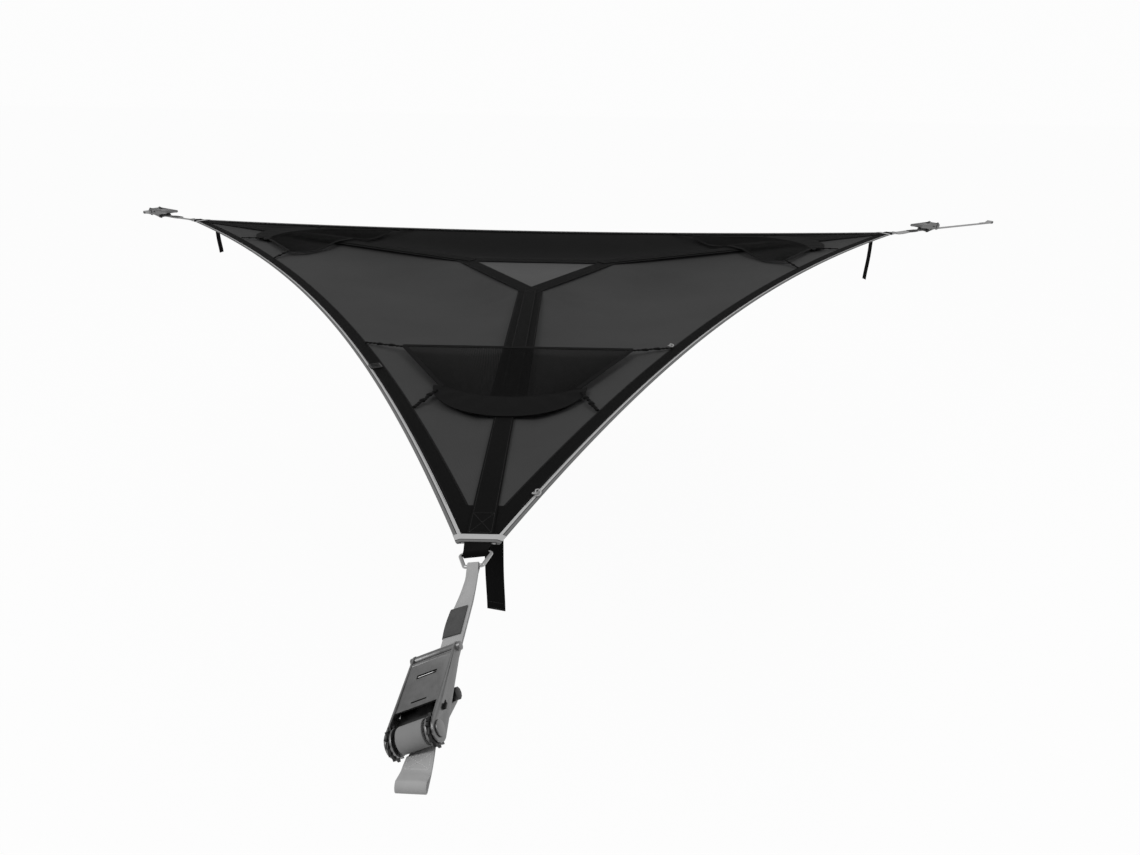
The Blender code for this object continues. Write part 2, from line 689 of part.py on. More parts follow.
def make_short_strap(corner, line, materials):
    """The grey webbing between the ring and the buckle's bolt, two plies sewn flat."""
    bolt_x = corner.spindle - APEX - BOLT_BACK
    ring_radius = RING_ROD / 2.0 + SHORT_BAR_SLACK + WEBBING / 2.0
    bolt_radius = BOLT_RADIUS + GAP + WEBBING / 2.0
    ply = WEBBING / 2.0 + GAP
    path = arc((0.0, 0.0), ring_radius, 80.0, 280.0, 8)
    places = [mix(STRAP_CLOSE, STRAP_SPREAD, step / 4.0) for step in range(5)] + [bolt_x - STRAP_CLOSE]
    path += [(x, -ply) for x in places]
    path += arc((bolt_x, 0.0), bolt_radius, -100.0, 100.0, 8)
    path += [(x, ply) for x in reversed(places)]
    bm = ribbon(path, WEBBING, strap_half, lambda x: strap_roll(corner, x), closed=True)
    add_object("short_strap_" + corner.name, bm, materials["grey_webbing"], line, smooth=30.0)


def make_sleeve(corner, line, materials):
    """A folded sleeve over one edge of the short strap."""
    edge = -STRAP_WIDTH / 2.0 - GAP - SLEEVE_WALL
    lip = edge + SLEEVE_WALL + SLEEVE_COVER
    inside = WEBBING + 2.0 * GAP + GAP
    outside = inside + SLEEVE_WALL
    outline = [(edge, -outside), (lip, -outside), (lip, -inside), (edge + SLEEVE_WALL, -inside),
               (edge + SLEEVE_WALL, inside), (lip, inside), (lip, outside), (edge, outside)]
    sections = []
    for step in range(5):
        x = SLEEVE_PLACE - SLEEVE_LENGTH * (1.0 - step / 4.0)
        sections.append([rolled((x, y, z), strap_roll(corner, x)) for y, z in outline])
    add_object("strap_sleeve_" + corner.name, loft(sections), materials["sleeve"], line)


# The ratchet buckle, in its own frame: x runs out along the strap from the spindle, y along the spindle

def frame_outline():
    """A side plate's outline: round at the spindle and at the bolt."""
    bolt = (-BOLT_BACK, -SPINDLE_HEIGHT)
    outline = arc((0.0, 0.0), FRAME_ROUND, -120.0, 150.0, 12)
    back, drop = FRAME_SHOULDER
    outline += [(-FRAME_ROUND - back, -drop), (-BOLT_BACK + BOLT_EYE, -FRAME_NECK_DROP)]
    outline += arc(bolt, BOLT_EYE, 90.0, 270.0, 6)
    return outline


def along_pawl(distance, rise=0.0):
    """A point on the pawl's line, from the spindle, with a rise square to it."""
    turn = math.radians(PAWL_ANGLE)
    return (distance * math.cos(turn) + rise * math.sin(turn), distance * math.sin(turn) - rise * math.cos(turn))


def pawl_outline(start, end, half):
    """A slanting box along the pawl's line, between two distances from the spindle."""
    return [along_pawl(start, -half), along_pawl(end, -half), along_pawl(end, half), along_pawl(start, half)]


def floor_line(back):
    """Height of the frame's floor at a distance behind the spindle."""
    low, high = -SPINDLE_HEIGHT - BOLT_EYE, -FRAME_ROUND * math.sin(math.radians(60.0))
    return mix(high, low, back / BOLT_BACK) + FLOOR_RISE


def make_frame(corner, ratchet, materials):
    """Two side plates joined by a floor, with a tab that backs the pawl's spring."""
    inner = FRAME_INNER / 2.0
    bm = prism(frame_outline(), inner, FRAME_OUTER, "y")
    frame = add_object("ratchet_frame_" + corner.name, bm, materials["pressed_steel"], ratchet)
    other = prism(frame_outline(), -FRAME_OUTER, -inner, "y")
    combine(frame, "frame_side_" + corner.name, other, "UNION")
    start, end = FLOOR_START, FLOOR_START + FLOOR_LENGTH
    floor = [(-end, floor_line(end)), (-start, floor_line(start)),
             (-start, floor_line(start) + FLOOR_THICKNESS), (-end, floor_line(end) + FLOOR_THICKNESS)]
    overlap = PLATE / 2.0
    combine(frame, "frame_floor_" + corner.name, prism(floor, -inner - overlap, inner + overlap, "y"), "UNION")
    tab_foot = floor_line(TAB_BACK) + FLOOR_THICKNESS / 2.0
    tab = [(-TAB_BACK - FLOOR_THICKNESS, tab_foot), (-TAB_BACK, tab_foot),
           (-TAB_BACK + TAB_FRONT[0], tab_foot + TAB_FRONT[1]),
           (-TAB_BACK + TAB_REAR[0], tab_foot + TAB_REAR[1])]
    combine(frame, "frame_tab_" + corner.name, prism(tab, -TAB_WIDTH / 2.0, TAB_WIDTH / 2.0, "y"), "UNION")
    reach = FRAME_OUTER + PLATE
    cuts = bar(JOURNAL_RADIUS + ROUND_PLAY, -reach, reach)
    bar(BOLT_RADIUS + ROUND_PLAY, -reach, reach, (-BOLT_BACK, -SPINDLE_HEIGHT), bm=cuts)
    slot = pawl_outline(CATCH_TIP - SLIDE_PLAY, CATCH_TIP + PAWL_LENGTH + PAWL_TRAVEL + SLIDE_PLAY,
                        PAWL_THICKNESS / 2.0 + SLIDE_PLAY)
    for low, high in ((-reach, -inner + PLATE), (inner - PLATE, reach)):
        prism(slot, low, high, "y", cuts)
    combine(frame, "frame_holes_" + corner.name, cuts, "DIFFERENCE")


def make_bolt(corner, ratchet, materials):
    """The bolt that holds the short strap: a shank, a head and a nut."""
    low, high = FRAME_OUTER + GAP, FRAME_OUTER + GAP + BOLT_HEAD
    profile = [(-high, BOLT_HEAD_RADIUS), (-low, BOLT_HEAD_RADIUS), (-low, BOLT_RADIUS), (low, BOLT_RADIUS),
               (low, BOLT_HEAD_RADIUS), (high, BOLT_HEAD_RADIUS)]
    place = (-BOLT_BACK, 0.0, -SPINDLE_HEIGHT)
    add_object("frame_bolt_" + corner.name, turned(profile, 10), materials["zinc_steel"], ratchet, place, 40.0)


def make_spindle(corner, ratchet, materials):
    """The slotted spindle that the tree strap is wound on, with a head at each end."""
    neck, seat = FRAME_INNER / 2.0 - 2.0 * SIDE_PLAY, FRAME_OUTER + SIDE_PLAY / 2.0
    head = ARM_HIGH + GAP
    half = [(neck, MANDREL_RADIUS), (neck, JOURNAL_RADIUS), (seat, JOURNAL_RADIUS), (seat, SPINDLE_END_RADIUS),
            (head, SPINDLE_END_RADIUS), (head, SPINDLE_HEAD_RADIUS), (head + SPINDLE_HEAD, SPINDLE_HEAD_RADIUS)]
    profile = [(-place, radius) for place, radius in reversed(half)] + half
    spindle = add_object("spindle_" + corner.name, turned(profile), materials["zinc_steel"], ratchet, smooth=40.0)
    slot_half = STRAP_WIDTH / 2.0 + GAP
    reach = 2.0 * MANDREL_RADIUS
    slot = block((-reach, -slot_half, -SLOT_HEIGHT / 2.0), (reach, slot_half, SLOT_HEIGHT / 2.0))
    combine(spindle, "spindle_slot_" + corner.name, slot, "DIFFERENCE")


def make_gears(corner, ratchet, materials):
    """The two ratchet wheels at the spindle's ends, with saw teeth."""
    outline, hole = [], []
    bore = SPINDLE_END_RADIUS + GAP
    pitch = 360.0 / GEAR_TEETH
    for tooth in range(GEAR_TEETH):
        for turn, radius in ((0.0, GEAR_ROOT), (pitch * TOOTH_RISE, GEAR_TIP)):
            angle = math.radians(tooth * pitch + turn)
            outline.append((radius * math.cos(angle), radius * math.sin(angle)))
            hole.append((bore * math.cos(angle), bore * math.sin(angle)))
    for side, low, high in (("a", -GEAR_HIGH, -GEAR_LOW), ("b", GEAR_LOW, GEAR_HIGH)):
        sections = [[(u, low, v), (u, high, v), (a, high, b), (a, low, b)]
                    for (u, v), (a, b) in zip(outline, hole)]
        bm = loft(sections, closed=True)
        add_object("gear_{}_{}".format(corner.name, side), bm, materials["dark_steel"], ratchet)


def make_winding(corner, ratchet, materials):
    """The tree strap's webbing wound on the spindle, as one flat spiral that ends at the bottom."""
    start = MANDREL_RADIUS + GAP + WEBBING / 2.0
    end = COIL_RADIUS - WEBBING / 2.0
    turns = (end - start) / COIL_PITCH
    steps = round(turns * COIL_STEPS)
    path = []
    for step in range(steps + 1):
        angle = math.radians(270.0 - 360.0 * turns * (1.0 - step / steps))
        radius = mix(start, end, step / steps)
        path.append((radius * math.cos(angle), radius * math.sin(angle)))
    bm = ribbon(path, WEBBING, lambda x: STRAP_WIDTH / 2.0)
    add_object("wound_webbing_" + corner.name, bm, materials["grey_webbing"], ratchet, smooth=30.0)
    return least_gap([(x, 0.0, z) for x, z in path], WEBBING, COIL_STEPS // 2)


def handle_outline():
    """An arm's outline: straight lines between a round end at the spindle and one at the grip."""
    outline = arc((0.0, 0.0), ARM_ROUND, -92.0, 88.0, 9)
    outline += arc((-GRIP_BACK, GRIP_HEIGHT), GRIP_RADIUS + GRIP_EYE, 90.0, 268.0, 6)
    return outline


def make_handle(corner, ratchet, materials):
    """The handle: two arms, a grip, a second bar and a pressed plate between the arms."""
    bm = prism(handle_outline(), ARM_LOW, ARM_HIGH, "y")
    handle = add_object("ratchet_handle_" + corner.name, bm, materials["pressed_steel"], ratchet, smooth=35.0)
    combine(handle, "handle_arm_" + corner.name, prism(handle_outline(), -ARM_HIGH, -ARM_LOW, "y"), "UNION")
    half = GRIP_LENGTH / 2.0
    grip = bar(GRIP_RADIUS, -half, half, (-GRIP_BACK, GRIP_HEIGHT), 12)
    combine(handle, "handle_grip_" + corner.name, grip, "UNION")
    reach = ARM_LOW + PLATE / 2.0
    second = bar(BAR_RADIUS, -reach, reach, (-BAR_BACK, BAR_HEIGHT), 10)
    combine(handle, "handle_bar_" + corner.name, second, "UNION")
    plate = block((-WEB_END, -reach, WEB_HEIGHT), (-WEB_START, reach, WEB_HEIGHT + FLOOR_THICKNESS))
    combine(handle, "handle_plate_" + corner.name, plate, "UNION")
    out = ARM_HIGH + PLATE
    cuts = bar(SPINDLE_END_RADIUS + ROUND_PLAY, -out, out)
    for back, (length, width) in ((WEB_SLOT_BACK, WEB_SLOT), (SMALL_SLOT_BACK, SMALL_SLOT)):
        block((-back - length / 2.0, -width / 2.0, WEB_HEIGHT - PLATE),
              (-back + length / 2.0, width / 2.0, WEB_HEIGHT + 2.0 * PLATE), cuts)
    near, far = CATCH_TAB
    for low, high in ((-out, -ARM_LOW + PLATE / 2.0), (ARM_LOW - PLATE / 2.0, out)):
        block((-far - CATCH_TRAVEL - SLIDE_PLAY, low, CATCH_LOW - SLIDE_PLAY),
              (-near + SLIDE_PLAY, high, CATCH_LOW + CATCH_THICKNESS + SLIDE_PLAY), cuts)
    combine(handle, "handle_holes_" + corner.name, cuts, "DIFFERENCE")


def make_catch(corner, ratchet, materials):
    """The release catch: a plate that slides between the handle's arms, with tabs and a finger lip."""
    wide, tab = GEAR_HIGH, ARM_HIGH + CATCH_TAB_REACH
    near, far = CATCH_TAB
    end = CATCH_TIP + CATCH_LENGTH
    half = [(-CATCH_TIP, wide), (-near - SLIDE_PLAY, wide), (-near - SLIDE_PLAY, tab), (-far, tab), (-far, wide),
            (-end, wide)]
    outline = half + [(x, -y) for x, y in reversed(half)]
    bm = prism(outline, CATCH_LOW, CATCH_LOW + CATCH_THICKNESS)
    catch = add_object("release_catch_" + corner.name, bm, materials["dark_steel"], ratchet)
    lip = block((-end, -wide + PLATE, CATCH_LOW + PLATE / 2.0),
                (-end + CATCH_LIP, wide - PLATE, WEB_HEIGHT - 3.0 * GAP))
    combine(catch, "catch_lip_" + corner.name, lip, "UNION")


def make_pawl(corner, ratchet, materials):
    """The lock pawl: a flat bar that slides in the side plates' slots towards the gears."""
    outline = pawl_outline(CATCH_TIP, CATCH_TIP + PAWL_LENGTH, PAWL_THICKNESS / 2.0)
    bm = prism(outline, -GEAR_HIGH, GEAR_HIGH, "y")
    add_object("lock_pawl_" + corner.name, bm, materials["dark_steel"], ratchet)


def make_pawl_spring(corner, ratchet, materials):
    """The spring between the lock pawl and the frame's tab, as short as the pawl's full travel presses it."""
    start = CATCH_TIP + PAWL_LENGTH + PAWL_TRAVEL + GAP + SPRING_WIRE
    end = (TAB_BACK - SPRING_SEAT) / -math.cos(math.radians(PAWL_ANGLE)) - GAP
    steps = SPRING_TURNS * SPRING_STEPS
    turn = Matrix.Rotation(math.radians(180.0 - PAWL_ANGLE), 3, "Y")
    coil = []
    for step in range(steps + 1):
        angle = 2.0 * math.pi * SPRING_TURNS * step / steps
        point = Vector((-mix(start, end, step / steps), SPRING_RADIUS * math.cos(angle),
                        SPRING_RADIUS * math.sin(angle)))
        coil.append(turn @ point)
    add_object("pawl_spring_" + corner.name, tube(coil, SPRING_WIRE / 2.0, 4), materials["zinc_steel"], ratchet)
    return least_gap(coil, SPRING_WIRE, 4)


def make_tree_strap(corner, line, materials):
    """The strap from under the winding to the anchor, ending in a sewn eye."""
    start = corner.spindle - APEX
    end = corner.eye - APEX + WEBBING / 2.0
    radius = EYE_HEIGHT / 2.0 + WEBBING / 2.0
    root = end - EYE_LENGTH
    folded = WEBBING + GAP
    middle = radius - EYE_DROP
    seam = max(root - EYE_SEAM, start + EYE_ROOM)
    path = [(start, 0.0), (mix(start, root, 0.5), 0.0), (root, 0.0)]
    path += arc((end - radius, middle), radius, -80.0, 80.0, 6)
    path += [(root + EYE_TURN, folded + EYE_LIFT), (root - EYE_TURN, folded), (seam, folded)]

    def roll(x):
        """The strap turns level between the spindle and the eye."""
        return mix(corner.roll, 0.0, min(max((x - start) / (root - start), 0.0), 1.0))

    bm = ribbon(path, WEBBING, lambda x: STRAP_WIDTH / 2.0, roll)
    add_object("tree_strap_" + corner.name, bm, materials["grey_webbing"], line, smooth=30.0)


def make_tail(corner, frame, materials):
    """The free end of webbing that hangs under a corner."""
    level = UNDER_LEVEL[0] - GAP - WEBBING / 2.0
    path = [(-TAIL_SEAM, level), (0.0, level)]
    path += arc((0.0, level - TAIL_BEND), TAIL_BEND, 75.0, 0.0, 5)
    path += [(TAIL_BEND, mix(level - TAIL_BEND, -corner.tail, share)) for share in (0.33, 0.66, 1.0)]
    place = (CORNER_RADIUS - corner.tail_in, corner.tail_side, 0.0)
    bm = ribbon(path, WEBBING, lambda x: TAIL_WIDTH / 2.0)
    tail = add_object("strap_tail_" + corner.name, bm, materials["black_webbing"], frame, place, smooth=30.0)
    tail.rotation_euler = (0.0, 0.0, math.radians(corner.tail_turn))


def net_point(along, across):
    """A point of a net: along runs from its open edge to its foot, across from -1 to 1."""
    foot = NET_FOOT - NET_FOOT_RISE * across * across
    return (mix(NET_TOP, foot, along), mix(NET_TOP_HALF, NET_FOOT_HALF, along) * across)


def net_height(along):
    """Height of a net's underside, which rises towards its open edge."""
    return NET_LEVEL + NET_TOP_LIFT * (1.0 - along)


def hem_point(across):
    """A point of the round hem's outer edge."""
    angle = math.radians(NET_HEM_SWEEP * across)
    return (NET_HEM_CENTRE + NET_HEM_REACH * math.cos(angle), NET_HEM_HALF * math.sin(angle))


def strand_borders(count, low, high, half):
    """The borders of the strands in one direction: two for each strand."""
    places = []
    for index in range(count + 1):
        middle = mix(low + half, high - half, index / count)
        places += [middle - half, middle + half]
    return places


def make_net(corner, frame, materials):
    """A storage net as one solid: an elastic band, strands that cross, a round hem and four ties."""
    half_row = NET_STRAND / 2.0 / (NET_FOOT - NET_TOP)
    rows = strand_borders(NET_ROWS, 0.0, 1.0, half_row)
    columns = strand_borders(NET_COLUMNS, -1.0, 1.0, NET_STRAND / 2.0 / NET_TOP_HALF)
    places = [[(*net_point(0.0, across), 0.0) for across in columns]]
    places[0] = [(x - NET_BAND_WIDTH, y, along) for x, y, along in places[0]]
    places += [[(*net_point(along, across), along) for across in columns] for along in rows]
    places.append([(*hem_point(across), 1.0) for across in columns])
    bm = bmesh.new()
    low, high = [
        [[bm.verts.new((x, y, net_height(along) + rise)) for x, y, along in line] for line in places]
        for rise in (0.0, NET_THICKNESS)
    ]
    last_row, last_column = len(places) - 2, len(columns) - 2

    def is_hole(row, column):
        """Whether a cell is a mesh of the net, or lies outside it."""
        inside = 0 <= row <= last_row and 0 <= column <= last_column
        return not inside or (row % 2 == 0 and 0 < row < last_row and column % 2 == 1)

    ties = {}
    for side, column in ((-1.0, 0), (1.0, last_column)):
        ties[(0, column, 1 if column else 3)] = (NET_TOP_TIE[0], side * NET_TOP_TIE[1])
        foot_column = column + (2 if side < 0 else -2)
        ties[(last_row, foot_column, 2)] = (NET_FOOT_TIE[0], side * NET_FOOT_TIE[1])
    for row in range(last_row + 1):
        for column in range(last_column + 1):
            if is_hole(row, column):
                continue
            cell = ((row, column), (row, column + 1), (row + 1, column + 1), (row + 1, column))
            for grid in (low, high):
                bm.faces.new([grid[a][b] for a, b in cell])
            beside = ((row - 1, column), (row, column + 1), (row + 1, column), (row, column - 1))
            for side, neighbour in enumerate(beside):
                if not is_hole(*neighbour):
                    continue
                (a, b), (c, d) = cell[side], cell[(side + 1) % 4]
                ring = [low[a][b], low[c][d], high[c][d], high[a][b]]
                if (row, column, side) in ties:
                    add_tie(bm, ring, ties[(row, column, side)])
                else:
                    bm.faces.new(ring)
    add_object("net_" + corner.name, bm, materials["net_cord"], frame)


def add_tie(bm, ring, end):
    """A tie that grows out of one side of the net and reaches down to the sheet's hem."""
    first, second = ring[0].co.copy(), ring[1].co.copy()
    middle = (first + second) / 2.0
    target = Vector((*end, STRAP_LEVEL[0]))
    along = (target - middle).to_2d().normalized()
    flank = Vector((-along.y, along.x)) * NET_TIE_WIDTH / 2.0
    if (first - second).to_2d().dot(flank) < 0.0:
        flank = -flank
    for share in (0.5, 1.0):
        centre = middle.lerp(target, share)
        points = [(centre.x + flank.x, centre.y + flank.y), (centre.x - flank.x, centre.y - flank.y)]
        fresh = [bm.verts.new((*points[0], centre.z)), bm.verts.new((*points[1], centre.z)),
                 bm.verts.new((*points[1], centre.z + NET_THICKNESS)),
                 bm.verts.new((*points[0], centre.z + NET_THICKNESS))]
        for side in range(4):
            after = (side + 1) % 4
            bm.faces.new((ring[side], ring[after], fresh[after], fresh[side]))
        ring = fresh
    bm.faces.new(ring)


def build():
    """Model the whole hammock."""
    clear_scene()
    materials = make_materials()
    front = CORNERS[0]
    heading, turn = math.radians(front.heading), math.radians(front.heading + front.turn)
    reach, line_length = CORNER_RADIUS + APEX, front.eye - APEX
    hub_place = (-reach * math.cos(heading) - line_length * math.cos(turn),
                 -reach * math.sin(heading) - line_length * math.sin(turn), -LINE_HEIGHT)
    hub = add_empty("hub", hub_place)
    make_hatch(hub, materials)
    root = make_hub_webbing(hub, materials)
    make_binding(hub, materials)
    make_hem(hub, materials)
    for name, heading in BAYS:
        make_bay(name, heading, hub, materials["far_ripstop" if name == "far" else "ripstop"])
    for corner in CORNERS:
        frame = add_empty("corner_" + corner.name, (0.0, 0.0, 0.0), (0.0, 0.0, corner.heading), hub)
        line = add_empty("line_" + corner.name, (CORNER_RADIUS + APEX, 0.0, LINE_HEIGHT),
                         (0.0, 0.0, corner.turn), frame)
        spindle_line = add_empty("spindle_line_" + corner.name, (corner.spindle - APEX, 0.0, 0.0),
                                 (corner.roll, 0.0, 0.0), line)
        ratchet = add_empty("ratchet_" + corner.name, (0.0, 0.0, SPINDLE_HEIGHT), parent=spindle_line)
        make_arm_strap(corner, frame, root, materials)
        make_delta_ring(corner, frame, materials)
        make_tail(corner, frame, materials)
        make_net(corner, frame, materials)
        make_short_strap(corner, line, materials)
        make_sleeve(corner, line, materials)
        make_tree_strap(corner, line, materials)
        make_frame(corner, ratchet, materials)
        make_bolt(corner, ratchet, materials)
        make_spindle(corner, ratchet, materials)
        make_gears(corner, ratchet, materials)
        winding_gap = make_winding(corner, ratchet, materials)
        make_handle(corner, ratchet, materials)
        make_catch(corner, ratchet, materials)
        make_pawl(corner, ratchet, materials)
        spring_gap = make_pawl_spring(corner, ratchet, materials)
        print(corner.name, "winding's least gap", round(winding_gap * 1000.0, 2), "mm")
        print(corner.name, "pawl spring's least gap", round(spring_gap * 1000.0, 2), "mm")


build()
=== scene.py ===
"""A triangle hammock: cloth bays, webbing, nets and ratchet buckles round the packed solids.

The file is laid out as an add-on and is run as a script. Lengths are in metres, angles in degrees.
"""
import math
from collections import namedtuple

import bpy
import numpy as np
from mathutils import Matrix, Vector


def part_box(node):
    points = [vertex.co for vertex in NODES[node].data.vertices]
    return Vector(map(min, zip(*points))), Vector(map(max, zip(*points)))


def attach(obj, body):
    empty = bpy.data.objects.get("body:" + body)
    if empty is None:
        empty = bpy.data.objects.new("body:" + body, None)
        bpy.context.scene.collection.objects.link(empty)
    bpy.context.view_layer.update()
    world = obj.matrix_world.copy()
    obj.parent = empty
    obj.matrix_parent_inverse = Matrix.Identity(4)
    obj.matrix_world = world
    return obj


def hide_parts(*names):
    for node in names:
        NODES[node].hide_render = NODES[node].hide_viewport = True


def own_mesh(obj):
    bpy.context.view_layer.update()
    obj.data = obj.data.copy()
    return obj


bl_info = {
    "name": "Triangle Hammock",
    "version": (1, 0, 0),
    "blender": (4, 5, 0),
    "location": "3D View > Sidebar > Hammock",
    "description": "Dresses a triangle hammock in cloth, webbing, nets and plated steel",
    "category": "Object",
}

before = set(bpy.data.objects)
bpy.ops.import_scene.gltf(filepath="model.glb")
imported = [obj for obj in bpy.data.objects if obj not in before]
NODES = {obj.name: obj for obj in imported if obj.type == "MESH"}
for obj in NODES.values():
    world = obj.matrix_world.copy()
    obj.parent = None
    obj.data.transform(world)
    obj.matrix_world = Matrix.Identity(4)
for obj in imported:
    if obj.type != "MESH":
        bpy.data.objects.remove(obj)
FIXED = "sheet"             # the body that everything that doesn't move rides on
UP = (0.0, 0.0, 1.0)

# The sheet, as in the solids
SIDE = 4.0
CORNER_FLAT = 0.080
EDGE_CAMBER = 0.174
BINDING_WIDTH = 0.015
HEM_WIDTH = 0.038
PATCH_LENGTH = 0.139
CORNER_BAND_WIDTH = 0.025
HATCH_RADIUS = 0.400
HATCH_WEBBING_WIDTH = 0.076
HATCH_SAG = 0.012
ARM_STRAP_WIDTH = 0.050
ARM_STRAP_OVERLAP = 0.045
ARM_STRAP_TURN_IN = 0.110
ARM_BAND_WIDTH = 0.098
ARM_BAND_END = 1.700
LOOP_WIDTH = 0.046
GAP = 0.0003
CLOTH = 0.0012
WEBBING = 0.002
CORNER_RADIUS = SIDE / math.sqrt(3.0)
HEM_INSET = BINDING_WIDTH + GAP + HEM_WIDTH
PATCH_START = CORNER_RADIUS - PATCH_LENGTH
SHEET_TOP = CLOTH / 2.0
TRIM_LEVEL = (SHEET_TOP + GAP, SHEET_TOP + GAP + CLOTH)
STRAP_LEVEL = (TRIM_LEVEL[1] + GAP, TRIM_LEVEL[1] + GAP + WEBBING)
TOP_LEVEL = (STRAP_LEVEL[1] + GAP, STRAP_LEVEL[1] + GAP + CLOTH)
UNDER_LEVEL = (-SHEET_TOP - 0.0008 - WEBBING, -SHEET_TOP - 0.0008)
LINE_HEIGHT = (STRAP_LEVEL[1] + UNDER_LEVEL[0]) / 2.0

# An arm stands at 60 degrees to the middle of the bays beside it
ARM_COS = 0.5
ARM_SIN = math.sqrt(3.0) / 2.0
ARM_SLOPE = ARM_SIN / ARM_COS
BORDER_INNER = (HATCH_RADIUS - HATCH_WEBBING_WIDTH) / 2.0
BORDER_OUTER = (HATCH_RADIUS + HATCH_WEBBING_WIDTH) / 2.0
ARM_ROOT = 2.0 * BORDER_OUTER - ARM_BAND_WIDTH / 2.0 * ARM_SLOPE

# Cloth and seams
BAY_CLOTH = 0.0008
SEAM_SHARE = 0.0125         # share of a bay's width that ends on a corner's flat, at each side
SEAM_INSET = 0.004          # from a webbing's edge to its seam
HEM_SEAMS = (BINDING_WIDTH - 0.0022, BINDING_WIDTH + 0.003, HEM_INSET - 0.003)
FAN_FOLDS = ((-1.0, 34.0, 0.4), (1.0, 38.0, 1.9))   # end of the edge, folds in a full turn, and their shift
FAN_TIP = (1.0, 2.0)        # where the folds at an end of the edge meet, in the bay's frame
FAN_REACH = (0.75, 0.45)    # how far from there they are deepest, and how fast they fade
HATCH_FOLD_TIP = (0.2, 0.34)
HATCH_FOLDS = (9.0, 0.6, 0.30)      # folds in a full turn, share of the depth, and how far they reach
STITCH_RINGS = ((0.14, 0.45), (0.5, 1.0), (0.86, 0.45))     # place along a stitch, share of its thickness
CORD_STITCH = 0.0005        # radius of the thick thread in the straps
ARM_BOXES = ((CORNER_RADIUS - 0.105, CORNER_RADIUS - 0.032), (ARM_ROOT - 0.040, ARM_ROOT + 0.030))
ARM_SEAM_START = ARM_ROOT + 0.034   # where the seams along an arm's webbing begin, past the box at its root

# Nets
NET_TOP = 1.178
NET_TOP_HALF = 0.362
NET_FOOT = 1.590
NET_FOOT_RISE = 0.070
NET_FOOT_HALF = 0.190
NET_HEM_CENTRE = 1.500
NET_HEM_REACH = 0.224
NET_HEM_HALF = 0.212
NET_HEM_SWEEP = 88.0
NET_TOP_TIE = (1.128, 0.490)
NET_FOOT_TIE = (1.668, 0.236)
NET_LEVEL = TOP_LEVEL[1] + GAP
BAND_SHARE = 0.16           # share of a net's half width that lies on the arm's band
OPEN_BAND = (-0.015, 0.005)     # across a net's open edge, from its line
SIDE_BAND = (-0.012, 0.003)     # across its sides
BAND_THICK = {"open": 0.0016, "side": 0.0013, "hem": 0.0012}
TIE_RADIUS = 0.0050
TIE_KNOTS = (0.30, 0.62)    # places of the knots along a tie

# Straps, rings and ratchet buckles
RING_ROD = 0.007
RING_SEAT = 0.034
RING_HEIGHT = 0.040
RING_CORNER = 0.005
RING_SIDE = 0.003
STRAP_WIDTH = 0.038
STRAP_NECK = 0.020
STRAP_SPREAD = 0.115
STRAP_CLOSE = 0.022         # from the ring or the bolt to where the plies lie together
FOLD_FADE = 0.02            # where the folds at the ring begin to fade
SLEEVE_LENGTH = 0.070
SLEEVE_PLACE = 0.192
SLEEVE_COVER = 0.033
SLEEVE_WALL = 0.0015
SLEEVE_SLANT = 0.005        # how much the sleeve's ends lean
SLEEVE_BULGE = (0.0022, 0.22)       # of its back, and of its sides as a share of their height
APEX = RING_SEAT + RING_HEIGHT
BOLT_BACK = 0.083
BOLT_RADIUS = 0.005
BOLT_BOX = (0.058, 0.026)   # the ends of the sewn box, back from the bolt
COIL_RADIUS = 0.019
COIL_PITCH = 0.0026
MANDREL_RADIUS = 0.009
SPINDLE_HEIGHT = COIL_RADIUS + GAP + WEBBING / 2.0
EYE_LENGTH = 0.030
EYE_HEIGHT = 0.014
EYE_DROP = 0.003            # how much the eye's middle lies under its radius
EYE_SEAM = 0.060
EYE_ROOM = 0.012            # least length of a seam that is sewn
TAIL_BEND = 0.008
TAIL_CURL = 0.004
TAIL_SEAMS = (0.004, 0.018)         # up from the tail's end
TAIL_SEAM_HALF = 0.016
PAWL_ANGLE = 200.0
PAWL_BACK = 0.0372          # from the spindle's line to the back of the resting pawl
TAB_BACK = 0.0500           # where the pawl spring's fixed end rests
SPRING_RADIUS = 0.0028
SPRING_WIRE = 0.00045
SPRING_TURNS = 5.0

Corner = namedtuple("Corner", ["name", "heading", "spindle", "eye", "turn", "ring_roll", "roll", "tail",
                               "tail_in", "tail_side", "tail_turn"])
CORNERS = (
    Corner("front", -90.0, 0.485, 0.555, -2.2, 8.0, 27.0, 0.183, 0.055, 0.026, -14.0),
    Corner("left", 150.0, 0.420, 0.520, 0.0, 0.0, 0.0, 0.165, 0.145, 0.0, 20.0),
    Corner("right", 30.0, 0.420, 0.990, 0.0, 0.0, 0.0, 0.255, 0.122, 0.0, -20.0),
)
BAYS = (("left", 210.0), ("right", 330.0), ("far", 90.0))

# Small pieces on the hem and the edge, from the hub, with their headings
BUCKLE_PLACE = (-0.407, -1.354, -62.0)
BUCKLE_BARS = ((-0.016, 0.0022), (-0.004, 0.0018), (0.008, 0.0018), (0.018, 0.0022))    # place and radius
BUCKLE_HALF = 0.015
BUCKLE_RAIL = 0.0024
KNOT_PLACES = ((0.100, -2.122, 68.0), (0.488, -1.111, 62.0))
KNOT_CORD = 0.0015

# The steel of the buckles: start of a node's name, finish and radius of its softened corners
STEEL = (
    ("ratchet_frame_", "pressed_zinc_plated_steel", 0.0006), ("frame_bolt_", "phosphated_steel", 0.0008),
    ("ratchet_handle_", "pressed_zinc_plated_steel", 0.0008), ("release_catch_", "phosphated_steel", 0.0005),
    ("lock_pawl_", "phosphated_steel", 0.0004), ("spindle_", "pressed_zinc_plated_steel", 0.0005),
    ("gear_", "phosphated_steel", 0.0003),
)

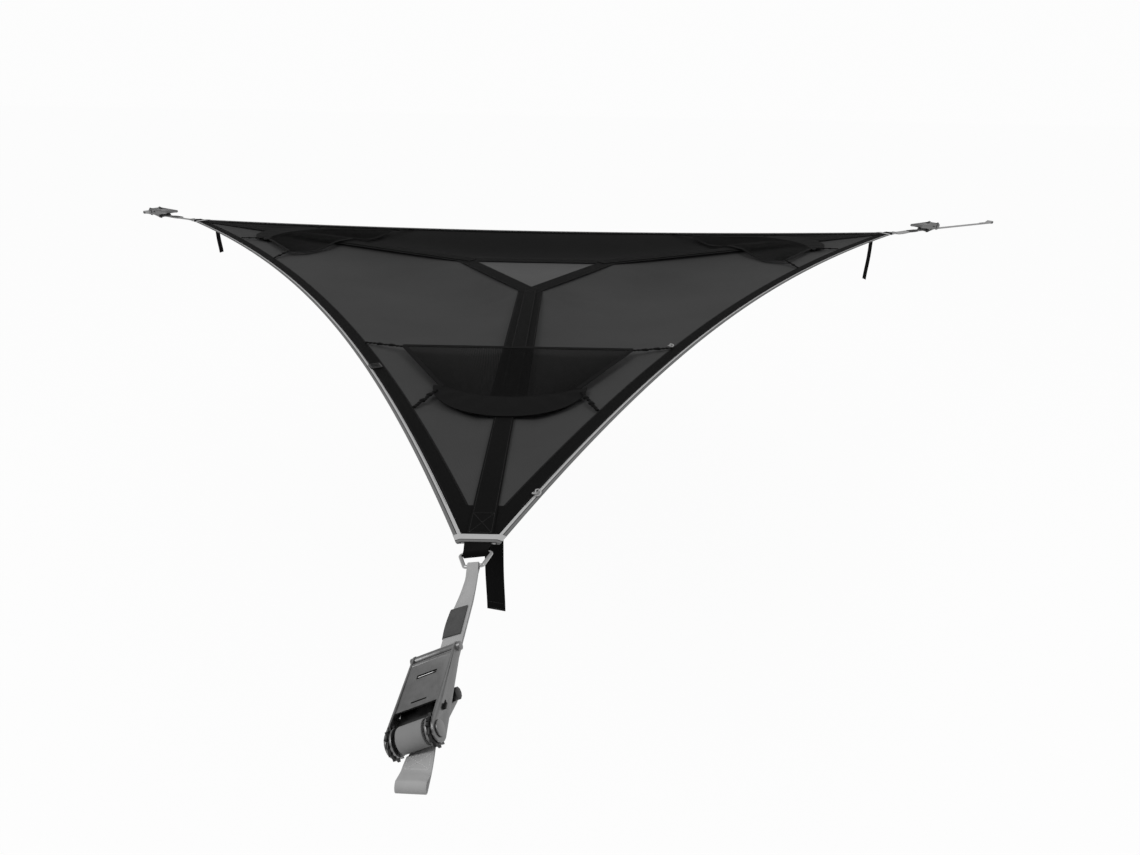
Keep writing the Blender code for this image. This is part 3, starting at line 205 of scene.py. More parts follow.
# The stage
BACKDROP = (0.979, 0.979, 0.979, 1.0)   # near white, as the far floor renders
FLOOR_PAINT = (0.80, 0.80, 0.80, 1.0)
FLOOR_GLOW = 0.95           # share of white in what the camera sees of the floor
FLOOR_HALF = 60.0
LAMPS = (("key_lamp", (-3.5, -1.5, 5.0), 150.0), ("fill_lamp", (4.0, 0.5, 4.0), 60.0))
LAMP_SIZE = 3.0
LAMP_AIM = (0.0, 2.0, 0.0)
CAMERA_PLACE = (0.159, -3.546, 0.7735)      # from the hub
CAMERA_YAW, CAMERA_PITCH, CAMERA_ROLL = 0.21, 23.54, 1.11

hatch_low, hatch_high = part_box("hatch_panel")
HUB = np.array(((hatch_low.x + hatch_high.x) / 2.0,
                hatch_low.y + (hatch_high.y - hatch_low.y) / 1.5,
                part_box("hub_webbing")[0].z - TRIM_LEVEL[0]))


# Settings

def length(name, description, default):
    """A setting in metres."""
    return bpy.props.FloatProperty(name=name, description=description, default=default, unit="LENGTH")


def colour(name, description, default):
    """A setting that holds an sRGB hex value."""
    return bpy.props.StringProperty(name=name, description=description, default=default)


class HammockCloth(bpy.types.PropertyGroup):
    """Sizes of the cloth"""
    bay_sag: length("Bay sag", "How far the middle of a bay hangs", 0.055)
    fold_depth: length("Fold depth", "Depth of the cloth's shallow folds", 0.0045)
    piping: length("Piping", "Radius of the bead along the edge", 0.0026)
    stitch: length("Stitch", "Length of a stitch and the space after it", 0.009)


class HammockNet(bpy.types.PropertyGroup):
    """Sizes of the storage nets"""
    mesh_pitch: length("Mesh pitch", "From one net strand to the next", 0.0062)
    strand: length("Strand", "Width of a net strand", 0.0024)
    lift: length("Lift", "How much the open edge stands above the foot", 0.0035)
    droop: length("Droop", "How far the far nets' open edges hang between the arm and the ties", 0.024)


class HammockColours(bpy.types.PropertyGroup):
    """Colours of the cloth and webbing"""
    cloth: colour("Cloth", "Near bays", "#3b3b3b")
    # The far bay's colour is darkened as painted shade.
    far_cloth: colour("Far cloth", "Far bay", "#101010")
    hatch: colour("Hatch", "Panel in the middle", "#4c4c4c")
    webbing: colour("Webbing", "Black webbing", "#080808")
    binding: colour("Binding", "Pale edge", "#b2b2b2")
    strap: colour("Strap", "Grey straps", "#9e9e9e")


class HammockStage(bpy.types.PropertyGroup):
    """Floor, light and camera"""
    floor_drop: length("Floor drop", "From the sheet down to the floor", 1.35)
    lens: bpy.props.FloatProperty(name="Lens", description="Focal length in millimetres", default=24.925)
    sky: bpy.props.FloatProperty(name="Sky", description="Strength of the even light", default=0.60)


# Places

def moved(x=0.0, y=0.0, z=0.0):
    """A move, as a 4 by 4 matrix."""
    matrix = np.eye(4)
    matrix[:3, 3] = (x, y, z)
    return matrix


def spun(degrees, axis="z"):
    """A turn about one axis, as a 4 by 4 matrix."""
    i, j = {"x": (1, 2), "y": (2, 0), "z": (0, 1)}[axis]
    turn = math.radians(degrees)
    matrix = np.eye(4)
    matrix[i, i] = matrix[j, j] = math.cos(turn)
    matrix[i, j], matrix[j, i] = -math.sin(turn), math.sin(turn)
    return matrix


def placed(matrix, points):
    """Points moved by a 4 by 4 matrix."""
    return points @ matrix[:3, :3].T + matrix[:3, 3]


def arm_place(heading):
    """The frame of an arm or a bay: x runs out from the hub at a heading."""
    return moved(*HUB) @ spun(heading)


def line_place(corner):
    """The frame of a corner's straps, from the delta ring's short bar outwards."""
    return arm_place(corner.heading) @ moved(CORNER_RADIUS + APEX, 0.0, LINE_HEIGHT) @ spun(corner.turn)


def ratchet_place(corner):
    """The frame of a ratchet buckle, on its spindle."""
    on_line = line_place(corner) @ moved(corner.spindle - APEX)
    return on_line @ spun(corner.roll, "x") @ moved(z=SPINDLE_HEIGHT)


def mix(low, high, share):
    """The value between two others at a share of the way."""
    return low + (high - low) * share


def clipped(value):
    """A value kept between 0 and 1."""
    return np.clip(value, 0.0, 1.0)


def eased(value):
    """A smooth step from 0 to 1."""
    value = clipped(value)
    return value * value * (3.0 - 2.0 * value)


def unit(vectors):
    """Vectors of length 1."""
    return vectors / np.linalg.norm(vectors, axis=-1, keepdims=True)


def points_of(*coordinates):
    """Points from their coordinates, each a number or an array."""
    return np.stack(np.broadcast_arrays(*coordinates), -1)


def rolled(x, y, z, degrees, pivot=0.0):
    """Points rolled about a line along x at the pivot's height."""
    turn = np.radians(degrees)
    z = z - pivot
    return points_of(x, y * np.cos(turn) - z * np.sin(turn), y * np.sin(turn) + z * np.cos(turn) + pivot)


def straight(start, end, count):
    """Points on a straight line, without its last one."""
    share = np.arange(count)[:, None] / count
    return mix(np.array(start, float), np.array(end, float), share)


def arc(centre, radius, start, end, count):
    """Points on an arc, from one angle to another."""
    angle = np.radians(np.linspace(start, end, count))
    return points_of(centre[0] + radius * np.cos(angle), centre[1] + radius * np.sin(angle))


def lengths(points):
    """The distance along a line of points to each of them."""
    steps = np.linalg.norm(np.diff(points, axis=0), axis=-1)
    return np.concatenate(([0.0], np.cumsum(steps)))


def looped(ring):
    """A ring with its first point again at its end."""
    return np.concatenate((ring, ring[:1]))


def pairs(rows, columns):
    """A grid of pairs of numbers, from those of its rows and of its columns."""
    return np.stack(np.meshgrid(rows, columns, indexing="ij"), -1)


# Meshes

LOOP, FLAT_CAP, FOLDED_CAP = "loop", "flat", "folded"   # rows joined in a loop, or how both ends are closed
Grid = namedtuple("Grid", "points uv end", defaults=(FLAT_CAP,))


def grid_faces(grid):
    """Four point numbers for each cell of a grid of rings, and each corner's place in the unwrapped grid."""
    rows, columns = grid.points.shape[:2]
    i, j = np.meshgrid(np.arange(rows - (grid.end != LOOP)), np.arange(columns), indexing="ij")
    steps = ((0, 0), (1, 0), (1, 1), (0, 1))
    corners = np.stack([np.stack((i + a, j + b), -1) for a, b in steps], 2).reshape(-1, 4, 2)
    return corners[..., 0] % rows * columns + corners[..., 1] % columns, corners


def cap_faces(kind, columns):
    """The faces that close a grid's first row: one over the whole ring, or one for each step of a sheet."""
    if kind == FLAT_CAP:
        return np.arange(columns)[None]
    step = np.arange(columns // 2 - 1)
    return np.stack((step, step + 1, columns - 2 - step, columns - 1 - step), -1)


def enclosed(points, faces):
    """Six times the volume inside the faces, which is negative where they point inwards."""
    total = 0.0
    for face in faces:
        corners = points[face]
        for k in range(1, corners.shape[-2] - 1):
            total += np.sum(corners[..., 0, :] * np.cross(corners[..., k, :], corners[..., k + 1, :]))
    return total


def mesh_of(name, grids):
    """One mesh from several grids of points, each with its own map in metres. Shells point outwards."""
    points, faces, maps, start = [], [], [], 0
    for grid in grids:
        rows, columns = grid.points.shape[:2]
        flat = grid.points.reshape(-1, 3)
        index, corners = grid_faces(grid)
        parts, part_maps = [index], [grid.uv[corners[..., 0], corners[..., 1]]]
        if grid.end != LOOP:
            cap = cap_faces(grid.end, columns)
            parts += [cap, cap[:, ::-1] + (rows - 1) * columns]
            part_maps += [grid.uv[0, cap], grid.uv[-1, cap[:, ::-1]]]
        if enclosed(flat - flat.mean(0), parts) < 0.0:
            parts, part_maps = [part[:, ::-1] for part in parts], [part[:, ::-1] for part in part_maps]
        points.append(flat)
        for part in parts:
            faces += (part + start).tolist()
        maps += [part.reshape(-1, 2) for part in part_maps]
        start += len(flat)
    mesh = bpy.data.meshes.new(name)
    mesh.from_pydata(np.concatenate(points).tolist(), [], faces)
    layer = mesh.uv_layers.new(name="UVMap")
    layer.data.foreach_set("uv", np.concatenate(maps).astype(np.float32).ravel())
    return mesh


def add_piece(name, grids, material, slot, body=FIXED, sharp=40.0, stands_for=()):
    """An object from grids of points that rides on a body and may stand for solids."""
    mesh = mesh_of(name, grids)
    mesh.shade_smooth()
    mesh.set_sharp_from_angle(angle=math.radians(sharp))
    mesh.materials.append(MATERIALS[material]())
    piece = bpy.data.objects.new(name, mesh)
    bpy.context.scene.collection.objects.link(piece)
    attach(piece, body)
    if stands_for:
        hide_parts(*stands_for)
    return piece


def set_in(place, *grids):
    """Grids moved to a place."""
    return [grid._replace(points=placed(place, grid.points)) for grid in grids]


def add_at(corner, name, place, grids, material, slot, solid, **more):
    """A corner's piece, moved to its place, that stands for the corner's solid of another name."""
    return add_piece(name + corner.name, set_in(place, *grids), material, slot,
                     stands_for=[solid + corner.name], **more)


def course(path, closed):
    """The directions along a path and the distance to each of its points."""
    along = np.roll(path, -1, 0) - np.roll(path, 1, 0) if closed else np.gradient(path, axis=0)
    return unit(along), lengths(looped(path) if closed else path)


def strap_outline(across):
    """A strap's outline, three numbers a point: share of its flat width, then out and up at its edges."""
    bend = np.radians((45.0, 90.0, 135.0))
    flat = np.linspace(-1.0, 1.0, across)
    return np.concatenate((points_of(flat, 0.0, 1.0), points_of(1.0, np.sin(bend), np.cos(bend)),
                           points_of(flat[::-1], 0.0, -1.0), points_of(-1.0, -np.sin(bend), -np.cos(bend))))


def strap(path, half, roll=None, pivot=0.0, closed=False, across=14, lift=None):
    """Webbing carried along a path in x and z, as a grid.

    Each outline point stands out from the path by half the thickness along the path's normal and by the
    half width along y. Then it is rolled about the line along x at the pivot's height. half, roll and lift
    take x or (x, y): the half width, the roll and a rise of the whole thickness.
    """
    along, station = course(path, closed)
    outline = strap_outline(across)
    width = half(path[:, 0]) if callable(half) else np.full(len(path), half)
    side = outline[:, 0] * (width[:, None] - WEBBING / 2.0) + outline[:, 1] * WEBBING / 2.0
    rise = outline[:, 2] * WEBBING / 2.0
    x = path[:, None, 0] - along[:, None, 1] * rise
    z = path[:, None, 1] + along[:, None, 0] * rise
    if lift:
        z = z + lift(x, side)
    points = rolled(x, side, z, roll(path[:, 0])[:, None] if roll else 0.0, pivot)
    flat = outline[:, 0] * width.max() + outline[:, 1] * WEBBING
    return Grid(points, pairs(station, looped(flat)), LOOP if closed else FLAT_CAP)


def tube(path, radius, sides, closed=False, flat=1.0, turn=0.0):
    """A round or flattened bar along a path in space: a circle in the plane square to the path.

    radius is one number or one for each point, and flat is the share of height to width.
    """
    along, station = course(path, closed)
    side = unit(np.cross(along, np.where(np.abs(along[:, 2:]) > 0.95, (1.0, 0.0, 0.0), UP)))[:, None]
    rise = np.cross(side[:, 0], along)[:, None]
    angle = np.arange(sides + 1) * 2.0 * math.pi / sides
    spoke = (angle[:-1] + turn)[None, :, None]
    radius = np.broadcast_to(radius, len(path))[:, None, None]
    points = path[:, None] + (side * np.cos(spoke) + rise * np.sin(spoke) * flat) * radius
    return Grid(points, pairs(station, angle * radius.max()), LOOP if closed else FLAT_CAP)


def slab(top, thickness):
    """A closed sheet: a grid of points, and the same grid lowered by its thickness, mapped in metres."""
    rows, columns = top.shape[:2]
    uv = pairs(lengths(top[:, columns // 2]), lengths(top[rows // 2]))
    points = np.concatenate((top, top[:, ::-1] - (0.0, 0.0, thickness)), 1)
    return Grid(points, np.concatenate((uv, uv[:, ::-1], uv[:, :1]), 1), FOLDED_CAP)


def seam(place, line, up=UP):
    """A line to be sewn, moved to a place, with the direction that is up for it."""
    return placed(place, np.array(line)), place[:3, :3] @ up


def box_seam(start, end, half, height):
    """A sewn box with a cross in it, as one line of points."""
    corners = ((start, -half), (end, -half), (end, half), (start, half))
    return np.array([(*corners[k], height) for k in (0, 1, 2, 3, 0, 2, 1, 3)])


def stitch_grids(seams, pitch, radius=0.00045):
    """Rows of stitches: arched bars of three rings of four points, at equal steps along each seam."""
    uv = pairs(np.arange(3) * radius, np.arange(5) * radius)
    grids = []
    for line, up in seams:
        station = lengths(line)
        count = max(int(station[-1] / pitch), 1)
        centres = []
        for share, thick in STITCH_RINGS:
            along = (np.arange(count) + share) / count * station[-1]
            centres.append(points_of(*[np.interp(along, station, line[:, k]) for k in range(3)]))
        side = unit(np.cross(unit(centres[2] - centres[0]), up))
        rings = [[centre + (up * 0.4 + side * math.cos(a) + up * math.sin(a)) * radius * thick
                  for a in np.radians((45.0, 135.0, 225.0, 315.0))]
                 for centre, (share, thick) in zip(centres, STITCH_RINGS)]
        grids += [Grid(stitch, uv) for stitch in np.array(rings).transpose(2, 0, 1, 3)]
    return grids


# Materials

MATERIALS = {}
DULL = {"Specular IOR Level": 0.06}     # cloth scatters nearly all its light inside its threads


def material(maker):
    """Keep a maker of a material under its name, so that each material is made once."""
    def made():
        found = bpy.data.materials.get(maker.__name__)
        if found:
            return found
        fresh = bpy.data.materials.new(maker.__name__)
        fresh.use_nodes = True
        fresh.node_tree.nodes.clear()
        maker(fresh)
        return fresh
    MATERIALS[maker.__name__] = made
    return made


def chosen(name):
    """A colour from the settings."""
    return getattr(bpy.context.scene.hammock_colours, name)


def linear(colour, share=1.0):
    """An sRGB hex colour as linear red, green, blue and alpha, made brighter by a share."""
    levels = [int(colour[k:k + 2], 16) / 255.0 for k in (1, 3, 5)]
    light = [c / 12.92 if c <= 0.04045 else ((c + 0.055) / 1.055) ** 2.4 for c in levels]
    return [min(share * c, 1.0) for c in light] + [1.0]


def add_node(tree, kind, inputs=None, **settings):
    """Add a node with its settings; an input is a value, or a socket to link."""
    node = tree.nodes.new(kind)
    for key, value in settings.items():
        setattr(node, key, value)
    for key, value in (inputs or {}).items():
        if isinstance(value, bpy.types.NodeSocket):
            tree.links.new(value, node.inputs[key])
        else:
            node.inputs[key].default_value = value
    return node


def maths(tree, operation, *values):
    """The result of a sum on numbers and sockets."""
    return add_node(tree, "ShaderNodeMath", dict(enumerate(values)), operation=operation).outputs[0]


def ranged(tree, value, **limits):
    """A value carried from one range to another."""
    inputs = {key.replace("_", " ").title(): limit for key, limit in limits.items()}
    return add_node(tree, "ShaderNodeMapRange", {"Value": value, **inputs}).outputs["Result"]


def tinted(tree, share, dark, light):
    """A colour between two, by a share from a pattern."""
    return add_node(tree, "ShaderNodeMix", {"Factor": share, "A": dark, "B": light},
                    data_type="RGBA").outputs["Result"]


def waves(tree, across, pitch):
    """A wave from 0 to 1 along a coordinate in metres."""
    wave = maths(tree, "SINE", maths(tree, "MULTIPLY", across, 2.0 * math.pi / pitch))
    return maths(tree, "MULTIPLY_ADD", wave, 0.5, 0.5)


def speckle(tree, grain, detail=3.0, stretch=None):
    """Soft noise with grains of a size in metres, on Object coordinates that may be stretched."""
    place = add_node(tree, "ShaderNodeTexCoord").outputs["Object"]
    if stretch:
        place = add_node(tree, "ShaderNodeMapping", {"Vector": place, "Scale": stretch}).outputs["Vector"]
    return add_node(tree, "ShaderNodeTexNoise", {"Vector": place, "Scale": 1.0 / grain,
                                                 "Detail": detail}).outputs["Fac"]


def cloth_map(tree):
    """The two coordinates of a piece's own map, in metres."""
    place = add_node(tree, "ShaderNodeTexCoord")
    split = add_node(tree, "ShaderNodeSeparateXYZ", {"Vector": place.outputs["UV"]})
    return split.outputs["X"], split.outputs["Y"]


def plain_weave(tree, place, pitch):
    """The height of threads that cross at a pitch, over the two coordinates of a place."""
    return maths(tree, "MULTIPLY", *[waves(tree, across, pitch) for across in place])


def shaded(made, colour, height, depth, rough, **sockets):
    """Finish a material: a principled shader with a bump in metres."""
    tree = made.node_tree
    bump = add_node(tree, "ShaderNodeBump", {"Height": height, "Distance": depth, "Strength": 1.0})
    shader = add_node(tree, "ShaderNodeBsdfPrincipled", {
        "Base Color": colour, "Roughness": rough, "Normal": bump.outputs["Normal"], **sockets})
    add_node(tree, "ShaderNodeOutputMaterial", {"Surface": shader.outputs["BSDF"]})


def ripstop(made, colour, rough):
    """A plain weave, drawn at 1.6 mm instead of 0.3, with thicker threads every 8 mm and broad stains."""
    tree = made.node_tree
    place = cloth_map(tree)
    lines = [maths(tree, "LESS_THAN", maths(tree, "PINGPONG", across, 0.004), 0.0007) for across in place]
    thick = maths(tree, "MAXIMUM", *lines)
    height = maths(tree, "MULTIPLY_ADD", thick, 1.5, plain_weave(tree, place, 0.0016))
    tone = maths(tree, "MULTIPLY_ADD", thick, 0.25, speckle(tree, 0.45))
    shade = tinted(tree, tone, linear(colour, 0.82), linear(colour, 1.22))
    shaded(made, shade, height, 0.00008, rough, **DULL)


def webbing(made, colour, pitch, depth, rough):
    """Herringbone webbing: slanted ribs that turn back every 4.8 mm, with a soft worn tone."""
    tree = made.node_tree
    u, v = cloth_map(tree)
    ribs = waves(tree, maths(tree, "ADD", u, maths(tree, "PINGPONG", v, 0.0048)), pitch)
    height = maths(tree, "MULTIPLY_ADD", waves(tree, v, pitch * 0.8), 0.35, ribs)
    tone = maths(tree, "MULTIPLY_ADD", ribs, 0.5, speckle(tree, 0.03))
    shade = tinted(tree, tone, linear(colour, 0.86), linear(colour, 1.14))
    shaded(made, shade, height, depth, rough, **DULL)


def thread(made, colour):
    """Sewing thread: a fine uneven twist with a little gloss."""
    tree = made.node_tree
    grain = speckle(tree, 0.0006, 1.0)
    shaded(made, tinted(tree, grain, linear(colour, 0.8), linear(colour, 1.2)), grain, 0.0001, 0.7)


def plated(made, colour, rough, grain, stretch=(1.0, 1.0, 1.0)):
    """Plated steel: metal with a grain of a size in metres in its colour and surface, and a cloudy gloss."""
    tree = made.node_tree
    fine = speckle(tree, grain, 4.0, stretch)
    broad = speckle(tree, 0.012, 4.0)
    tone = maths(tree, "MULTIPLY_ADD", fine, 0.4, broad)
    gloss = ranged(tree, broad, from_min=0.3, from_max=0.7, to_min=rough - 0.08, to_max=rough + 0.10)
    shade = tinted(tree, tone, linear(colour, 0.72), linear(colour, 1.28))
    shaded(made, shade, fine, 0.00004, gloss, Metallic=1.0)


@material
def ripstop_nylon(made):
    """Woven ripstop nylon, dyed dark grey: dull, with a faint grid."""
    ripstop(made, chosen("cloth"), 0.72)


@material
def black_ripstop_nylon(made):
    """The same weave dyed black."""
    ripstop(made, chosen("far_cloth"), 0.78)


@material
def hatch_taffeta(made):
    """Nylon taffeta: plain weave, smoother and paler than the bays."""
    ripstop(made, chosen("hatch"), 0.62)


@material
def black_polyester_webbing(made):
    """Black polyester webbing with 2 mm ribs."""
    webbing(made, chosen("webbing"), 0.0020, 0.00016, 0.80)


@material
def grey_polyester_webbing(made):
    """Grey polyester ratchet webbing: close ribs with a soft gloss."""
    webbing(made, chosen("strap"), 0.0016, 0.00010, 0.62)


@material
def worn_grey_webbing(made):
    """The same webbing where it is wound tight: duller and darker from the spindle's grease."""
    webbing(made, "#7c7c7c", 0.0016, 0.00008, 0.55)


@material
def hem_twill(made):
    """Black cotton twill of the hem, with 1.5 mm diagonals."""
    webbing(made, "#0a0a0a", 0.0015, 0.00012, 0.85)


@material
def elastic_band(made):
    """Braided elastic: close ribs across a narrow black band."""
    webbing(made, "#0a0a0a", 0.0012, 0.00005, 0.75)


@material
def edge_grosgrain(made):
    """Grosgrain binding: fine cross ribs, darker round the edge's bead and darkest in the seam beside it."""
    tree = made.node_tree
    u, v = cloth_map(tree)
    # Painted shade: the bead, less than 5.8 mm in from the edge, is darkened as its shaded roll.
    flat = ranged(tree, v, from_min=0.0058, from_max=0.0064, to_min=0.32)
    # Painted shade: a dark line in the crease beside the bead, about 5.9 to 7.7 mm in from the edge.
    crease_painted_shade = maths(tree, "SUBTRACT", 1.0, maths(tree, "COMPARE", v, 0.0068, 0.0009))
    tone = maths(tree, "MULTIPLY", flat, crease_painted_shade)
    shade = tinted(tree, tone, linear("#303030"), linear(chosen("binding")))
    shaded(made, shade, waves(tree, u, 0.0018), 0.0002, 0.72, **DULL)


@material
def knitted_net(made):
    """Knitted polyester net cord, with the knit's 1.5 mm loops along it."""
    tree = made.node_tree
    u, v = cloth_map(tree)
    knit = waves(tree, u, 0.0015)
    shaded(made, tinted(tree, knit, linear("#080808"), linear("#141414")), knit, 0.0002, 0.80, **DULL)


@material
def coated_sleeve(made):
    """Coated nylon sleeve: a coarse plain weave under a dull coat."""
    tree = made.node_tree
    shade = tinted(tree, speckle(tree, 0.02), linear("#424242"), linear("#565656"))
    shaded(made, shade, plain_weave(tree, cloth_map(tree), 0.0013), 0.0002, 0.62, **DULL)


@material
def black_thread(made):
    """Bonded black sewing thread."""
    thread(made, "#1e1e1e")


@material
def grey_thread(made):
    """Bonded grey sewing thread, a little paler than the webbing."""
    thread(made, "#c2c2c2")


@material
def zinc_plated_steel(made):
    """Bright zinc plate on round bar and turned pieces."""
    plated(made, "#a0a0a0", 0.32, 0.0012)


@material
def pressed_zinc_plated_steel(made):
    """Zinc plate on pressed sheet: duller, with rolling marks."""
    plated(made, "#727272", 0.36, 0.0016, (1.0, 0.15, 1.0))


@material
def phosphated_steel(made):
    """Dark phosphate coat on the gears, pawl, catch and bolt."""
    plated(made, "#343434", 0.42, 0.0008)


@material
def moulded_acetal(made):
    """Black moulded acetal: smooth with a fine spark-eroded grain."""
    tree = made.node_tree
    grain = speckle(tree, 0.0005, 2.0)
    shaded(made, tinted(tree, grain, linear("#0c0c0c"), linear("#161616")), grain, 0.00003, 0.42)


@material
def pale_cord(made):
    """Undyed twisted cord, with its lay at 2 mm."""
    tree = made.node_tree
    lay = waves(tree, maths(tree, "ADD", *cloth_map(tree)), 0.002)
    shaded(made, tinted(tree, lay, linear("#8f8f8f"), linear("#bdbdbd")), lay, 0.0003, 0.75)


# The sheet

def curve_points(share, inset):
    """An edge's curve in its bay's frame: a parabola drawn in by the camber, moved in square to itself."""
    end_x = CORNER_RADIUS * ARM_COS + CORNER_FLAT / 2.0 * ARM_SIN
    end_y = CORNER_RADIUS * ARM_SIN - CORNER_FLAT / 2.0 * ARM_COS
    x = end_x - EDGE_CAMBER * (1.0 - share * share)
    slope = 2.0 * EDGE_CAMBER * share
    length = np.hypot(end_y, slope)
    return x - inset * end_y / length, share * end_y + inset * slope / length


def beside_arm(inset):
    """Steps of an inset edge past its corner: their share, and their place along and aside of the arm."""
    share = np.linspace(0.0, 1.2, 2401)
    x, y = curve_points(share, inset)
    return share, x * ARM_COS + y * ARM_SIN, x * ARM_SIN - y * ARM_COS


def edge_share(radius, inset):
    """The share at which an inset edge passes a distance from the hub along the corner's arm."""
    share, along, aside = beside_arm(inset)
    return float(np.interp(radius, along, share))


def half_width(radius, inset):
    """Half the sheet's width across an arm, at distances from the hub, less an inset."""
    share, along, aside = beside_arm(inset)
    return np.interp(radius, along, aside)


def strip(heading, x, y, outline):
    """A strip in a bay's frame, with its length and its outline's insets as its map."""
    points = points_of(x, y, outline[:, 1])
    return Grid(placed(arm_place(heading), points), pairs(lengths(points[:, 0]), looped(outline[:, 0])))


def edge_strip(outline, end, heading):
    """A strip along an edge, from its outline of insets and heights, cut square to the arms at its ends."""
    ends = np.array([edge_share(end, inset) for inset in outline[:, 0]])
    share = np.linspace(-1.0, 1.0, 220)[:, None] * ends
    return strip(heading, *curve_points(share, outline[:, 0]), outline)


def band_outline(start, end, low, high, count=8):
    """A flat band's closed outline between two insets and two heights, with soft edges and a faint crown."""
    soft, crown = 0.0006, 0.0002
    across = np.linspace(start + soft, end - soft, count)
    top = high - crown + crown * np.sin(np.pi * np.linspace(0.0, 1.0, count))
    middle = (low + high) / 2.0
    return np.concatenate((points_of(across, top), [(end, middle)],
                           points_of(across[::-1], low), [(start, middle)]))


def folds_of_bay(x, y):
    """Depth of a bay's folds: fans from beyond the two ends of the edge, and from the hatch's corners."""
    depth = 0.0
    for side, beats, shift in FAN_FOLDS:
        out, aside = x - FAN_TIP[0], FAN_TIP[1] - side * y
        fade = np.exp(-((np.hypot(out, aside) - FAN_REACH[0]) / FAN_REACH[1]) ** 2)
        depth = depth + (0.5 + 0.5 * np.sin(beats * np.arctan2(out, aside) + shift)) * fade
    beats, share, reach = HATCH_FOLDS
    for side in (-1.0, 1.0):
        out, aside = x - HATCH_FOLD_TIP[0], y - side * HATCH_FOLD_TIP[1]
        wave = 0.5 + 0.5 * np.sin(beats * np.arctan2(out, aside))
        depth = depth + share * wave * np.exp(-np.hypot(out, aside) / reach)
    return depth


def bay_surface(across, along, sizes):
    """The middle of a bay's cloth: lines from the hatch's side to the edge, lowered by a product of two
    sines that is flattest along the edge, with shallow folds.

    The first and last hundredth of the lines run from the hatch's corner to the flat of a sheet's corner.
    """
    reach = CORNER_RADIUS - GAP
    signed = 2.0 * across - 1.0
    inner_x = HATCH_RADIUS / 2.0 + GAP
    inner_y = (inner_x * ARM_SLOPE - GAP) * signed
    limit = edge_share(reach, BINDING_WIDTH + GAP)
    edge = clipped((across - SEAM_SHARE) / (1.0 - 2.0 * SEAM_SHARE))
    outer_x, outer_y = curve_points((2.0 * edge - 1.0) * limit, BINDING_WIDTH + GAP)
    beside = clipped((np.abs(signed) - 1.0 + 2.0 * SEAM_SHARE) / (2.0 * SEAM_SHARE))
    outer_x = mix(outer_x, reach * ARM_COS + GAP * ARM_SIN, beside)
    outer_y = mix(outer_y, np.sign(signed) * (reach * ARM_SIN - GAP * ARM_COS), beside)
    x, y = mix(inner_x, outer_x, along), mix(inner_y, outer_y, along)
    hang = np.sin(np.pi * across) ** 0.8 * np.sin(np.pi * along ** 0.8) ** 1.6
    soft = clipped(np.minimum(across, 1.0 - across) / 0.06) * clipped(np.minimum(along, 1.0 - along) / 0.14)
    return points_of(x, y, -sizes.bay_sag * hang - sizes.fold_depth * folds_of_bay(x, y) * soft * soft)


def cloth_area(points):
    """The area of the cells of a grid of points, from their diagonals."""
    a, b = points[1:, 1:] - points[:-1, :-1], points[:-1, 1:] - points[1:, :-1]
    return float(np.linalg.norm(np.cross(a, b), axis=-1).sum() / 2.0)


def make_bays(scene):
    """Cloth of the three bays"""
    across, along = np.meshgrid(np.linspace(0.0, 1.0, 241), np.linspace(0.0, 1.0, 61))
    for name, heading in BAYS:
        points = placed(arm_place(heading), bay_surface(across, along, scene.hammock_cloth))
        grid = slab(points + (0.0, 0.0, BAY_CLOTH / 2.0), BAY_CLOTH)
        # The far bay gets a darker copy of the cloth: painted shade.
        look = ("black_ripstop_nylon", "far_ripstop") if name == "far" else ("ripstop_nylon", "ripstop")
        cloth = add_piece("cloth_bay_" + name, [grid], *look, stands_for=["bay_" + name])


def make_hatch(scene):
    """Panel in the middle: three four-sided fields that meet there, hung by a cosine of the distance"""
    turns = np.radians((-90.0, 30.0, 150.0))
    corners = points_of(np.cos(turns), np.sin(turns))
    border = HATCH_RADIUS - 2.0 * GAP
    grids, area = [], 0.0
    share = np.linspace(0.0, 1.0, 25)
    s, t = share[:, None, None], share[None, :, None]
    for index, corner in enumerate(corners):
        after = (corner + corners[(index + 1) % 3]) / 2.0
        before = (corner + corners[index - 1]) / 2.0
        flat = (s * (1 - t) * before + s * t * corner + (1 - s) * t * after) * border
        out = clipped(np.maximum.reduce([-(flat @ other) / (border / 2.0) for other in corners]))
        ripple = 0.0012 * np.sin(9.0 * flat[..., 0] / border) * (1.0 - out)
        points = points_of(flat[..., 0], flat[..., 1], ripple - HATCH_SAG * np.cos(math.pi / 2.0 * out))
        area += cloth_area(points)
        grid = slab(placed(arm_place(0.0), points) + (0.0, 0.0, BAY_CLOTH / 2.0), BAY_CLOTH)
        grids.append(grid._replace(uv=np.concatenate((flat, flat[:, ::-1], flat[:, :1]), 1) + 1.0))
    cloth = add_piece("cloth_hatch", grids, "hatch_taffeta", "hatch_cloth", stands_for=["hatch_panel"])


